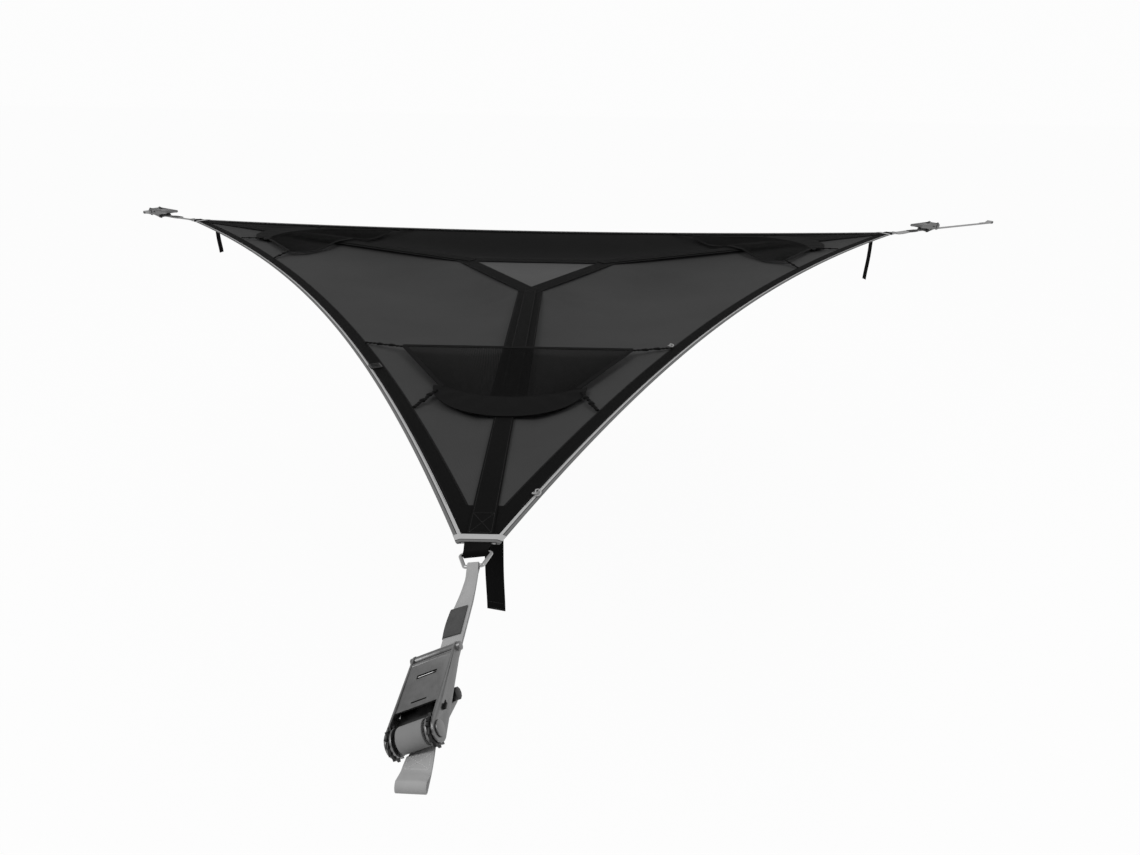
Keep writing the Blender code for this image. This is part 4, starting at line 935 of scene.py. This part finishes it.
def make_binding(scene):
    """Pale edge and corners: a folded tape with a bead in its outer edge, and a band over each corner"""
    piping = scene.hammock_cloth.piping
    low, high = -SHEET_TOP, TRIM_LEVEL[1]
    bead = arc((piping, (low + high) / 2.0), piping, 40.0, 320.0, 13)
    bead[:, 1] = np.clip(bead[:, 1], low - 0.0006, high + 0.0008)
    beside_bead, middle, rim, soft = 0.0062, 0.0105, BINDING_WIDTH - 0.0005, 0.0003
    lower = [(beside_bead, low), (middle, low), (rim, low + soft)]
    upper = [(rim, high - soft), (middle, high), (beside_bead, high)]
    outline = np.concatenate((bead, lower, upper))
    grids = [edge_strip(outline, CORNER_RADIUS + GAP, heading) for name, heading in BAYS]
    add_piece("binding_tape", grids, "edge_grosgrain", "grey_binding", stands_for=["edge_binding"])
    overlap, slope, crown = 0.0012, 0.012, 0.0006
    x = np.linspace(CORNER_RADIUS - CORNER_BAND_WIDTH, CORNER_RADIUS + overlap, 9)[:, None]
    share = np.linspace(-1.0, 1.0, 41)
    half = half_width(x, 0.0) + overlap
    rise = eased((1.0 - np.abs(share)) * half.max() / slope)
    rounding = crown * np.linspace(-1.0, 1.0, 9)[:, None] ** 4
    grid = slab(points_of(x, half * share, mix(high + crown, TOP_LEVEL[1], rise) - rounding), CLOTH)
    grid = grid._replace(uv=points_of(grid.uv[..., 1], x[-1] - x))
    bands = [set_in(arm_place(corner.heading), grid)[0] for corner in CORNERS]
    add_piece("corner_bands", bands, "edge_grosgrain", "grey_binding", stands_for=["edge_binding"])


def make_hem(scene):
    """Black hem inside the binding and the patch in each corner, with three rows of stitches"""
    low, high = TRIM_LEVEL
    outline = band_outline(BINDING_WIDTH + GAP, HEM_INSET, low, high)
    grids = [edge_strip(outline, PATCH_START, heading) for name, heading in BAYS]
    add_piece("hem_bands", grids, "hem_twill", "black_hem", stands_for=["edge_hem"])
    x = np.linspace(PATCH_START + GAP, CORNER_RADIUS - GAP, 15)[:, None]
    y = half_width(x, BINDING_WIDTH + GAP) * np.linspace(-1.0, 1.0, 15)
    grid = slab(points_of(x, y, high), high - low)
    patches = [set_in(arm_place(corner.heading), grid)[0] for corner in CORNERS]
    add_piece("corner_patches", patches, "hem_twill", "black_hem", stands_for=["edge_hem"])
    seams = []
    for inset in HEM_SEAMS:
        limit = edge_share(PATCH_START, inset)
        line = points_of(*curve_points(np.linspace(-limit, limit, 200), inset), high)
        seams += [seam(arm_place(heading), line) for name, heading in BAYS]
    add_piece("edge_stitches", stitch_grids(seams, scene.hammock_cloth.stitch), "black_thread", "black_hem")


# The arms

def make_arm_bands(scene):
    """Webbing round the hatch, mitred at its corners, and a wide band out along each arm"""
    low, high = TRIM_LEVEL
    outline = band_outline(BORDER_INNER, BORDER_OUTER - GAP, low, high, count=14)
    borders, seams = [], []
    for name, heading in BAYS:
        y = np.linspace(-1.0, 1.0, 41)[:, None] * outline[:, 0] * ARM_SLOPE
        borders.append(strip(heading, outline[:, 0], y, outline))
        for x in (BORDER_INNER + SEAM_INSET, BORDER_OUTER - SEAM_INSET):
            seams.append(seam(arm_place(heading), [(x, -x * ARM_SLOPE, high), (x, x * ARM_SLOPE, high)]))
    add_piece("hatch_border", borders, "black_polyester_webbing", "black_webbing",
              stands_for=["hub_webbing"])
    half = ARM_BAND_WIDTH / 2.0
    side = half - SEAM_INSET
    y = np.linspace(-half, half, 25)
    start = 2.0 * BORDER_OUTER - np.abs(y) * ARM_SLOPE + GAP
    grid = slab(points_of(mix(start, ARM_BAND_END, np.linspace(0.0, 1.0, 90)[:, None]), y, high), high - low)
    first, last, across = ARM_ROOT + 0.03, ARM_BAND_END - 0.003, ARM_BAND_END - SEAM_INSET
    for corner in CORNERS:
        place = arm_place(corner.heading)
        add_piece("arm_band_" + corner.name, set_in(place, grid), "hem_twill", "black_webbing",
                  stands_for=["hub_webbing"])
        for line in (((first, -side), (last, -side)), ((first, side), (last, side)),
                     ((across, -side), (across, side))):
            seams.append(seam(place, [(*point, high) for point in line]))
    stitches = stitch_grids(seams, scene.hammock_cloth.stitch)
    add_piece("arm_stitches", stitches, "black_thread", "black_webbing")


def make_arm_straps(scene):
    """Webbing along the arms, looped round the delta ring and sewn back under the corner"""
    upper, lower = sum(STRAP_LEVEL) / 2.0, sum(UNDER_LEVEL) / 2.0
    bar_x = CORNER_RADIUS + RING_SEAT
    radius = RING_ROD / 2.0 + 0.001 + WEBBING / 2.0
    leave = CORNER_RADIUS + 0.006
    end = CORNER_RADIUS - ARM_STRAP_TURN_IN
    turn = arc((bar_x, LINE_HEIGHT), radius, 100.0, -100.0, 25)
    path = np.concatenate((
        straight((ARM_ROOT - ARM_STRAP_OVERLAP, upper), (leave, upper), 60),
        straight((leave, upper), turn[0], 8), turn, straight(turn[-1], (leave, lower), 8)[1:],
        straight((leave, lower), (end, lower), 10)))
    half, top = ARM_STRAP_WIDTH / 2.0 - SEAM_INSET, STRAP_LEVEL[1]

    def share(x):
        """How far the strap is along its way from the corner to the ring."""
        return clipped((x - leave) / (bar_x - radius - leave))

    seams = []
    for corner in CORNERS:
        grid = strap(path, lambda x: mix(ARM_STRAP_WIDTH, LOOP_WIDTH, share(x)) / 2.0,
                     lambda x: corner.ring_roll * share(x), LINE_HEIGHT)
        place = arm_place(corner.heading)
        add_at(corner, "arm_webbing_", place, [grid], "black_polyester_webbing", "black_webbing",
               "arm_strap_")
        seams += [seam(place, box_seam(*ends, half, top)) for ends in ARM_BOXES]
        seams += [seam(place, [(ARM_SEAM_START, y, top), (end, y, top)]) for y in (-half, half)]
    add_piece("strap_stitches", stitch_grids(seams, 0.006, CORD_STITCH), "black_thread", "black_webbing")


# Nets

def net_place(across, along, lift, droop):
    """A place on a net: across from -1 to 1, along from its open edge to its foot. Each half of the
    open edge droops by a sine between the arm's band and the tie."""
    x = mix(NET_TOP, NET_FOOT - NET_FOOT_RISE * across * across, along)
    y = mix(NET_TOP_HALF, NET_FOOT_HALF, along) * across
    sling = np.sin(np.pi * clipped((np.abs(across) - BAND_SHARE) / (1.0 - BAND_SHARE)))
    return points_of(x, y, NET_LEVEL + (lift - droop * sling) * (1.0 - along) + 0.0006)


def net_strands(sizes, droop):
    """The net's strands: two families of straight lines on its flat plan, each a flat bar of four sides."""
    wide, deep = (NET_TOP_HALF + NET_FOOT_HALF) / 2.0, NET_FOOT - NET_TOP
    step = sizes.mesh_pitch * math.sqrt(2.0)
    count = int((wide + deep) / step) + 1
    start = np.arange(-count, count + 1) * step
    grids = []
    for sign in (-1.0, 1.0):
        ends = [np.clip((side * wide - start) * sign, 0.0, deep) for side in (-1.0, 1.0)]
        for first, begin, end in zip(start, np.minimum(*ends), np.maximum(*ends)):
            if end - begin < step:
                continue
            along = np.linspace(begin, end, max(int((end - begin) / 0.02), 2) + 1)
            line = net_place((first + sign * along) / wide, along / deep, sizes.lift, droop)
            line[:, 2] += 0.00025 * sign
            grids.append(tube(line, sizes.strand / 2.0, 4, flat=0.35, turn=math.pi / 4.0))
    return grids


def net_bands(sizes, droop):
    """The elastic in the net's open edge with small ruffles, its two bound sides and its round hem."""
    across = np.linspace(-1.0, 1.0, 61)
    x, y, z = net_place(across, 0.0, sizes.lift, droop).T
    ruffle = 0.0005 * np.sin(across * 30.0) * np.sin(np.pi * np.linspace(0.0, 1.0, 6))[:, None]
    x = x + np.linspace(*OPEN_BAND, 6)[:, None]
    bands = [slab(points_of(x, y, z + 0.0012 + ruffle), BAND_THICK["open"])]
    for side in (-1.0, 1.0):
        x, y, z = net_place(side, np.linspace(0.0, 1.0, 30), sizes.lift, droop).T
        y = y + np.linspace(*SIDE_BAND, 5)[:, None] * side
        bands.append(slab(points_of(x, y, z + 0.0010), BAND_THICK["side"]))
    angle = np.radians(NET_HEM_SWEEP * across)
    outer = points_of(NET_HEM_CENTRE + NET_HEM_REACH * np.cos(angle), NET_HEM_HALF * np.sin(angle))
    inner = net_place(across, 1.0, sizes.lift, droop)[:, :2]
    share = np.linspace(0.0, 1.0, 13)[:, None]
    plan = mix(inner, outer, share[..., None])
    height = NET_LEVEL + 0.0013 + 0.0006 * np.sin(across * 24.0) * np.sin(np.pi * share)
    return bands + [slab(points_of(plan[..., 0], plan[..., 1], height), BAND_THICK["hem"])]


def tie(start, end):
    """A tie of twisted tape with two knots: a bar whose radius swells by two narrow bumps and waves."""
    share = np.linspace(0.0, 1.0, 49)
    start, end = np.array(start), np.array(end)
    along = unit(end - start)
    bow = 0.0016 * np.sin(share * 15.0) * np.sin(np.pi * share)
    x, y = mix(start, end, share[:, None]).T
    height = mix(NET_LEVEL + 0.003, STRAP_LEVEL[0] + 0.002, share)
    path = points_of(x - along[1] * bow, y + along[0] * bow, height)
    swell = 1.0 + 0.25 * np.sin(share * 60.0)
    for knot in TIE_KNOTS:
        swell = swell + 0.9 * np.exp(-((share - knot) / 0.05) ** 2)
    return tube(path, TIE_RADIUS * swell, 8, flat=0.45)


def make_nets(scene):
    """Storage nets, each a mesh, bands round it and four ties"""
    sizes = scene.hammock_net
    foot = (NET_FOOT - NET_FOOT_RISE + 0.03, NET_FOOT_HALF * 1.03)
    ties = []
    for side in (-1.0, 1.0):
        for start, end in (((NET_TOP, NET_TOP_HALF), NET_TOP_TIE), (foot, NET_FOOT_TIE)):
            ties.append(tie((start[0], side * start[1]), (end[0], side * end[1])))
    for corner in CORNERS:
        droop = 0.0 if corner.name == "front" else sizes.droop
        for kind, grids, finish, sharp in (("mesh", net_strands(sizes, droop), "knitted_net", 80.0),
                                           ("bands", net_bands(sizes, droop), "elastic_band", 40.0),
                                           ("ties", ties, "elastic_band", 40.0)):
            add_at(corner, "net_" + kind + "_", arm_place(corner.heading), grids, finish, "net_cord", "net_",
                   sharp=sharp)


# Straps, rings and their small pieces

def rounded_loop(points, radius, steps):
    """A closed outline with its corners rounded by arcs."""
    loop = []
    for index, point in enumerate(points):
        here = Vector(point)
        back = (Vector(points[index - 1]) - here).normalized()
        ahead = (Vector(points[(index + 1) % len(points)]) - here).normalized()
        half = back.angle(ahead) / 2.0
        start, end = here + back * radius / math.tan(half), here + ahead * radius / math.tan(half)
        centre = here + (back + ahead).normalized() * radius / math.sin(half)
        for step in range(steps + 1):
            spoke = (start - centre).lerp(end - centre, step / steps).normalized()
            loop.append(centre + spoke * radius)
    return np.array(loop)


def make_rings(scene):
    """Delta rings of round bar"""
    long_half, short_half = [width / 2.0 + RING_SIDE + RING_ROD / 2.0 for width in (LOOP_WIDTH, STRAP_NECK)]
    loop = rounded_loop([(0.0, -long_half), (RING_HEIGHT, -short_half), (RING_HEIGHT, short_half),
                         (0.0, long_half)], RING_CORNER, 8)
    grid = tube(points_of(loop[:, 0], loop[:, 1], 0.0), RING_ROD / 2.0, 20, closed=True)
    for corner in CORNERS:
        place = (arm_place(corner.heading) @ moved(CORNER_RADIUS + RING_SEAT, 0.0, LINE_HEIGHT)
                 @ spun(corner.ring_roll, "x"))
        add_at(corner, "steel_ring_", place, [grid], "zinc_plated_steel", "zinc_steel", "delta_ring_",
               sharp=60.0)


def strap_roll(corner, x):
    """The roll of the short strap, which turns where it is gathered and then lies flat."""
    return mix(corner.ring_roll, corner.roll, clipped(x / STRAP_SPREAD))


def strap_half(x):
    """Half the width of the short strap, which spreads from the ring."""
    return mix(STRAP_NECK, STRAP_WIDTH, clipped(x / STRAP_SPREAD)) / 2.0


def strap_folds(x, y):
    """Lengthwise folds that fade away from the ring, and one edge that is creased down."""
    share = y / strap_half(x)
    fade = clipped(x / FOLD_FADE) * (1.0 - eased((x - FOLD_FADE) / (STRAP_SPREAD * 0.9)))
    crease = clipped(x / 0.03) * (1.0 - eased((x - 0.05) / STRAP_SPREAD)) * clipped(-0.25 - share)
    return 0.0014 * fade * np.sin(share * 3.4 + 0.6) - 0.011 * crease


def make_short_straps(scene):
    """Webbing between ring and buckle: two plies, gathered into folds in the ring"""
    ring = arc((0.0, 0.0), RING_ROD / 2.0 + 0.0015 + WEBBING / 2.0, 80.0, 280.0, 21)
    ply, start = WEBBING / 2.0 + GAP, STRAP_CLOSE
    for corner in CORNERS:
        bolt_x = corner.spindle - APEX - BOLT_BACK
        end = bolt_x - STRAP_CLOSE
        bolt = arc((bolt_x, 0.0), BOLT_RADIUS + GAP + WEBBING / 2.0, -100.0, 100.0, 21)
        path = np.concatenate((ring, straight(ring[-1], (start, -ply), 8)[1:],
                               straight((start, -ply), (end, -ply), 44),
                               straight((end, -ply), bolt[0], 6), bolt,
                               straight(bolt[-1], (end, ply), 6)[1:],
                               straight((end, ply), (start, ply), 44),
                               straight((start, ply), ring[0], 8)))
        grid = strap(path, strap_half, lambda x: strap_roll(corner, x), closed=True, across=22,
                     lift=strap_folds)
        place = line_place(corner)
        add_at(corner, "strap_webbing_", place, [grid], "grey_polyester_webbing", "grey_webbing",
               "short_strap_")
        start_x, end_x = [bolt_x - back for back in BOLT_BOX]
        line = box_seam(start_x, end_x, STRAP_WIDTH / 2.0 - 0.005, WEBBING + GAP)
        line = rolled(*line.T, strap_roll(corner, line[:, 0]))
        seams = [seam(place, line, spun(corner.roll, "x")[:3, :3] @ UP)]
        add_piece("strap_seam_" + corner.name, stitch_grids(seams, 0.004, CORD_STITCH), "grey_thread",
                  "grey_webbing")


def make_sleeves(scene):
    """Folded sleeves over one edge of the strap: a thick C whose back bulges, cut slanting at its ends"""
    edge = -STRAP_WIDTH / 2.0 - GAP - SLEEVE_WALL
    lip = edge + SLEEVE_WALL + SLEEVE_COVER
    reach = WEBBING + 3.0 * GAP + SLEEVE_WALL
    inside = reach - SLEEVE_WALL
    back = arc((edge + reach, 0.0), reach, 90.0, 270.0, 17)
    hollow = arc((edge + reach, 0.0), inside, 270.0, 90.0, 17)
    outline = np.concatenate((
        straight((lip, reach), back[0], 12), back, straight(back[-1], (lip, -reach), 12)[1:],
        [(lip, -reach)], straight((lip, -inside), hollow[0], 12), hollow,
        straight(hollow[-1], (lip, inside), 12)[1:], [(lip, inside)]))
    across = (outline[:, 0] - edge) / (lip - edge)
    share = np.linspace(0.0, 1.0, 33)
    along, swell = share[:, None], np.sin(np.pi * share)[:, None]
    slant = SLEEVE_SLANT * (across - 0.5) * np.abs(2.0 * along - 1.0)
    x = SLEEVE_PLACE - SLEEVE_LENGTH * (1.0 - along) + slant
    y = outline[:, 0] - SLEEVE_BULGE[0] * swell * (1.0 - clipped(across / 0.3))
    z = outline[:, 1] * (1.0 + SLEEVE_BULGE[1] * swell * np.sin(np.pi * clipped(across)))
    uv = pairs(share * SLEEVE_LENGTH, lengths(looped(outline)))
    for corner in CORNERS:
        grid = Grid(rolled(x, y, z, strap_roll(corner, x)), uv)
        add_at(corner, "folded_sleeve_", line_place(corner), [grid], "coated_sleeve", "sleeve",
               "strap_sleeve_")


def make_tree_straps(scene):
    """Straps from under the winding to the anchors, each with a sewn eye and its seam"""
    radius = (EYE_HEIGHT + WEBBING) / 2.0
    folded = WEBBING + GAP
    for corner in CORNERS:
        start = corner.spindle - APEX
        end = corner.eye - APEX + WEBBING / 2.0
        root = end - EYE_LENGTH
        stop = max(root - EYE_SEAM, start + EYE_ROOM)
        eye = arc((end - radius, radius - EYE_DROP), radius, -80.0, 80.0, 21)
        close, closed = (root + 0.002, folded + 0.0008), (root - 0.002, folded)
        path = np.concatenate((
            straight((start, 0.0), (root, 0.0), 40), straight((root, 0.0), eye[0], 6), eye,
            straight(eye[-1], close, 6)[1:], straight(close, closed, 3),
            straight(closed, (stop, folded), 12), [(stop, folded)]))

        def roll(x):
            """The strap's roll, from the ratchet's to level at the eye."""
            return mix(corner.roll, 0.0, clipped((x - start) / (root - start)))

        place = line_place(corner)
        grid = strap(path, STRAP_WIDTH / 2.0, roll)
        add_at(corner, "anchor_strap_", place, [grid], "grey_polyester_webbing", "grey_webbing",
               "tree_strap_")
        if root - stop > EYE_ROOM:
            line = box_seam(stop + 0.003, root - 0.004, STRAP_WIDTH / 2.0 - 0.004, folded + WEBBING / 2.0)
            line = np.concatenate([straight(a, b, 8) for a, b in zip(line, line[1:])] + [line[-1:]])
            seams = [seam(place, rolled(*line.T, roll(line[:, 0])))]
            add_piece("eye_seam_" + corner.name, stitch_grids(seams, 0.004, CORD_STITCH), "grey_thread",
                      "grey_webbing")


def make_windings(scene):
    """Webbing wound on the spindles: one spiral whose radius grows by the pitch in each turn"""
    first = MANDREL_RADIUS + GAP + WEBBING / 2.0
    last = COIL_RADIUS - WEBBING / 2.0
    turns = (last - first) / COIL_PITCH
    share = np.linspace(0.0, 1.0, round(turns * 40) + 1)
    angle = np.radians(270.0 - 360.0 * turns * (1.0 - share))
    radius = mix(first, last, share)
    grid = strap(points_of(radius * np.cos(angle), radius * np.sin(angle)), STRAP_WIDTH / 2.0)
    for corner in CORNERS:
        # The wound coil takes a darker grey webbing: painted shade.
        add_at(corner, "wound_strap_", ratchet_place(corner), [grid], "worn_grey_webbing", "grey_webbing",
               "wound_webbing_", body="spindle_body_" + corner.name)


def make_tails(scene):
    """Hanging ends of webbing under the corners, with a slow curl and a sewn end"""
    level = UNDER_LEVEL[0] - GAP - WEBBING / 2.0
    turn = arc((0.0, level - TAIL_BEND), TAIL_BEND, 90.0, 0.0, 12)
    seams = []
    for corner in CORNERS:
        path = np.concatenate((straight((-0.040, level), (0.0, level), 8), turn,
                               straight((TAIL_BEND, level - TAIL_BEND), (TAIL_BEND, -corner.tail), 40)[1:],
                               [(TAIL_BEND, -corner.tail)]))
        drop = clipped(-(path[:, 1] - level) / (corner.tail + level))
        path[:, 0] += TAIL_CURL * np.sin(drop * 5.0) * drop
        place = (arm_place(corner.heading) @ moved(CORNER_RADIUS - corner.tail_in, corner.tail_side)
                 @ spun(corner.tail_turn))
        grid = strap(path, STRAP_WIDTH / 2.0, across=10)
        tail = add_at(corner, "hanging_tail_", place, [grid], "black_polyester_webbing", "black_webbing",
                      "strap_tail_")
        for up in TAIL_SEAMS:
            height = up - corner.tail
            x = np.interp(-height, -path[25:, 1], path[25:, 0]) + WEBBING / 2.0
            line = [(x, -TAIL_SEAM_HALF, height), (x, TAIL_SEAM_HALF, height)]
            seams.append(seam(place, line, (1.0, 0.0, 0.0)))
    add_piece("tail_stitches", stitch_grids(seams, 0.004), "black_thread", "black_webbing")


def make_springs(scene):
    """Pawl springs at their resting length: a helix of round wire"""
    tilt = PAWL_ANGLE - 180.0
    start, end = PAWL_BACK + 0.0007, TAB_BACK / math.cos(math.radians(tilt)) - 0.0002
    share = np.linspace(0.0, 1.0, 181)
    angle = 2.0 * math.pi * SPRING_TURNS * share
    path = points_of(-mix(start, end, share), SPRING_RADIUS * np.cos(angle), SPRING_RADIUS * np.sin(angle))
    for corner in CORNERS:
        place = ratchet_place(corner) @ spun(-tilt, "y")
        grid = tube(placed(place, path), SPRING_WIRE, 8)
        spring = add_piece("coil_spring_" + corner.name, [grid], "zinc_plated_steel", "zinc_steel",
                           stands_for=["pawl_spring_" + corner.name])
        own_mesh(spring)


def make_ratchets(scene):
    """Finish of the buckles' steel: the solids stay, plated and with their corners rounded"""
    for name, node in NODES.items():
        for start, finish, radius in STEEL:
            if name.startswith(start):
                node.data.materials.clear()
                node.data.materials.append(MATERIALS[finish]())
                weld = node.modifiers.new("weld", "WELD")
                weld.merge_threshold = 0.00001
                bevel = node.modifiers.new("soft_corners", "BEVEL")
                bevel.width = radius
                bevel.segments = 3
                bevel.limit_method = "ANGLE"
                bevel.angle_limit = math.radians(40.0)
                bevel.use_clamp_overlap = True
                node.data.shade_smooth()


def make_fittings(scene):
    """A small buckle of four bars and two rails on the left hem, and two pale knots on the right edge"""
    share = np.linspace(0.0, 1.0, 9)
    across = mix(-BUCKLE_HALF, BUCKLE_HALF, share)
    bars = [tube(points_of(x, across, 0.0), radius, 10) for x, radius in BUCKLE_BARS]
    along = mix(BUCKLE_BARS[0][0], BUCKLE_BARS[-1][0], share)
    bars += [tube(points_of(along, y, 0.0), BUCKLE_RAIL, 10) for y in (-BUCKLE_HALF, BUCKLE_HALF)]
    x, y, heading = BUCKLE_PLACE
    place = moved(*HUB) @ moved(x, y, TRIM_LEVEL[1] + 0.0026) @ spun(heading)
    add_piece("hem_buckle", set_in(place, *bars), "moulded_acetal", "black_hem")
    angle = np.linspace(0.0, 2.0 * math.pi, 97)[:-1]
    wave = np.cos(3.0 * angle)
    loop = points_of((0.009 + 0.004 * wave) * np.cos(2.0 * angle),
                     (0.006 + 0.003 * wave) * np.sin(2.0 * angle), 0.0024 * np.sin(3.0 * angle))
    knots = []
    for x, y, heading in KNOT_PLACES:
        place = moved(*HUB) @ moved(x, y, TRIM_LEVEL[1] + 0.0048) @ spun(heading)
        knots.append(tube(placed(place, loop), KNOT_CORD, 8, closed=True))
    add_piece("edge_knots", knots, "pale_cord", "grey_binding")


# The stage

def seen_by(tree, *kinds):
    """1 for the kinds of light ray that show a surface to the camera, and 0 for the rest."""
    path = add_node(tree, "ShaderNodeLightPath")
    seen = path.outputs[kinds[0]]
    for kind in kinds[1:]:
        seen = maths(tree, "MAXIMUM", seen, path.outputs[kind])
    return seen


def make_floor(settings):
    """A pale floor that the camera sees as white, with most of the shadow that falls on it taken out."""
    z, far = -settings.floor_drop, FLOOR_HALF
    mesh = bpy.data.meshes.new("studio_floor")
    mesh.from_pydata([(-far, -far, z), (far, -far, z), (far, far, z), (-far, far, z)], [], [(0, 1, 2, 3)])
    made = bpy.data.materials.new("matt_white_paint")
    made.use_nodes = True
    tree = made.node_tree
    tree.nodes.clear()
    share = maths(tree, "MULTIPLY", seen_by(tree, "Is Camera Ray", "Is Glossy Ray", "Is Transmission Ray"),
                  FLOOR_GLOW)
    paint = add_node(tree, "ShaderNodeBsdfDiffuse", {"Color": FLOOR_PAINT})
    white = add_node(tree, "ShaderNodeEmission", {"Color": (1.0, 1.0, 1.0, 1.0), "Strength": 1.0})
    blend = add_node(tree, "ShaderNodeMixShader", {0: share, 1: paint.outputs[0], 2: white.outputs[0]})
    add_node(tree, "ShaderNodeOutputMaterial", {"Surface": blend.outputs[0]})
    mesh.materials.append(made)
    floor = bpy.data.objects.new("studio_floor", mesh)
    bpy.context.scene.collection.objects.link(floor)


def make_lights(settings):
    """An even white sky and two wide soft lamps."""
    scene = bpy.context.scene
    world = scene.world or bpy.data.worlds.new("studio")
    scene.world = world
    world.use_nodes = True
    tree = world.node_tree
    tree.nodes.clear()
    seen = seen_by(tree, "Is Camera Ray", "Is Transmission Ray")
    strength = ranged(tree, seen, to_min=settings.sky, to_max=1.0)
    light = add_node(tree, "ShaderNodeBackground", {"Color": BACKDROP, "Strength": strength})
    add_node(tree, "ShaderNodeOutputWorld", {"Surface": light.outputs[0]})
    for name, place, power in LAMPS:
        lamp = bpy.data.lights.new(name, "AREA")
        lamp.size = LAMP_SIZE
        lamp.energy = power
        thing = bpy.data.objects.new(name, lamp)
        thing.location = place
        thing.rotation_mode = "QUATERNION"
        thing.rotation_quaternion = (Vector(LAMP_AIM) - Vector(place)).to_track_quat("-Z", "Y")
        scene.collection.objects.link(thing)


def make_camera(settings):
    """The camera: above the front corner, looking down over the sheet."""
    yaw, pitch, roll = [math.radians(turn) for turn in (CAMERA_YAW, CAMERA_PITCH, CAMERA_ROLL)]
    ahead = Vector((math.sin(yaw) * math.cos(pitch), math.cos(yaw) * math.cos(pitch), -math.sin(pitch)))
    right = ahead.cross(Vector(UP)).normalized()
    up = right.cross(ahead)
    side = right * math.cos(roll) + up * math.sin(roll)
    rise = up * math.cos(roll) - right * math.sin(roll)
    data = bpy.data.cameras.new("camera")
    data.lens = settings.lens
    data.sensor_width = 36.0
    camera = bpy.data.objects.new("camera", data)
    turn = Matrix((side, rise, -ahead)).transposed().to_4x4()
    camera.matrix_world = Matrix.Translation(Vector(HUB) + Vector(CAMERA_PLACE)) @ turn
    bpy.context.scene.collection.objects.link(camera)
    bpy.context.scene.camera = camera
    bpy.context.scene.view_settings.view_transform = "Standard"


def make_stage(scene):
    """Floor, light and camera"""
    for maker in (make_floor, make_lights, make_camera):
        maker(scene.hammock_stage)


# Operators

def operator(maker):
    """An operator class that runs one maker, with the maker's name and docstring."""
    def execute(self, context):
        maker(context.scene)
        return {"FINISHED"}
    name = maker.__name__.removeprefix("make_")
    return type("HAMMOCK_OT_" + name, (bpy.types.Operator,), {
        "bl_idname": "hammock." + name, "bl_label": name.replace("_", " ").capitalize(),
        "__doc__": maker.__doc__, "execute": execute})


OPERATORS = [operator(maker) for maker in (
    make_stage, make_bays, make_hatch, make_binding, make_hem, make_arm_bands, make_arm_straps, make_nets,
    make_rings, make_short_straps, make_sleeves, make_tree_straps, make_windings, make_tails, make_springs,
    make_ratchets, make_fittings)]


class HAMMOCK_PT_panel(bpy.types.Panel):
    """Lists the hammock's pieces"""
    bl_idname = "HAMMOCK_PT_panel"
    bl_label = "Triangle Hammock"
    bl_space_type = "VIEW_3D"
    bl_region_type = "UI"
    bl_category = "Hammock"

    def draw(self, context):
        """Draw a box for each group of settings, and a button for each operator."""
        for name, kind in GROUPS:
            box = self.layout.box()
            for key in kind.__annotations__:
                box.prop(getattr(context.scene, name), key)
        for kind in OPERATORS:
            self.layout.operator(kind.bl_idname)


GROUPS = (("hammock_cloth", HammockCloth), ("hammock_net", HammockNet), ("hammock_colours", HammockColours),
          ("hammock_stage", HammockStage))
CLASSES = [kind for name, kind in GROUPS] + OPERATORS + [HAMMOCK_PT_panel]


def register():
    """Add the settings, the operators and the panel."""
    for kind in CLASSES:
        bpy.utils.register_class(kind)
    for name, kind in GROUPS:
        setattr(bpy.types.Scene, name, bpy.props.PointerProperty(type=kind))


def unregister():
    """Take the settings, the operators and the panel away."""
    for name, kind in GROUPS:
        delattr(bpy.types.Scene, name)
    for kind in reversed(CLASSES):
        bpy.utils.unregister_class(kind)


def main():
    """Register the add-on, make every piece in order and write the sizes before and after."""
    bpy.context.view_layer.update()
    register()
    for kind in OPERATORS:
        getattr(bpy.ops.hammock, kind.bl_idname.split(".")[1])()


if __name__ == "__main__":
    main()
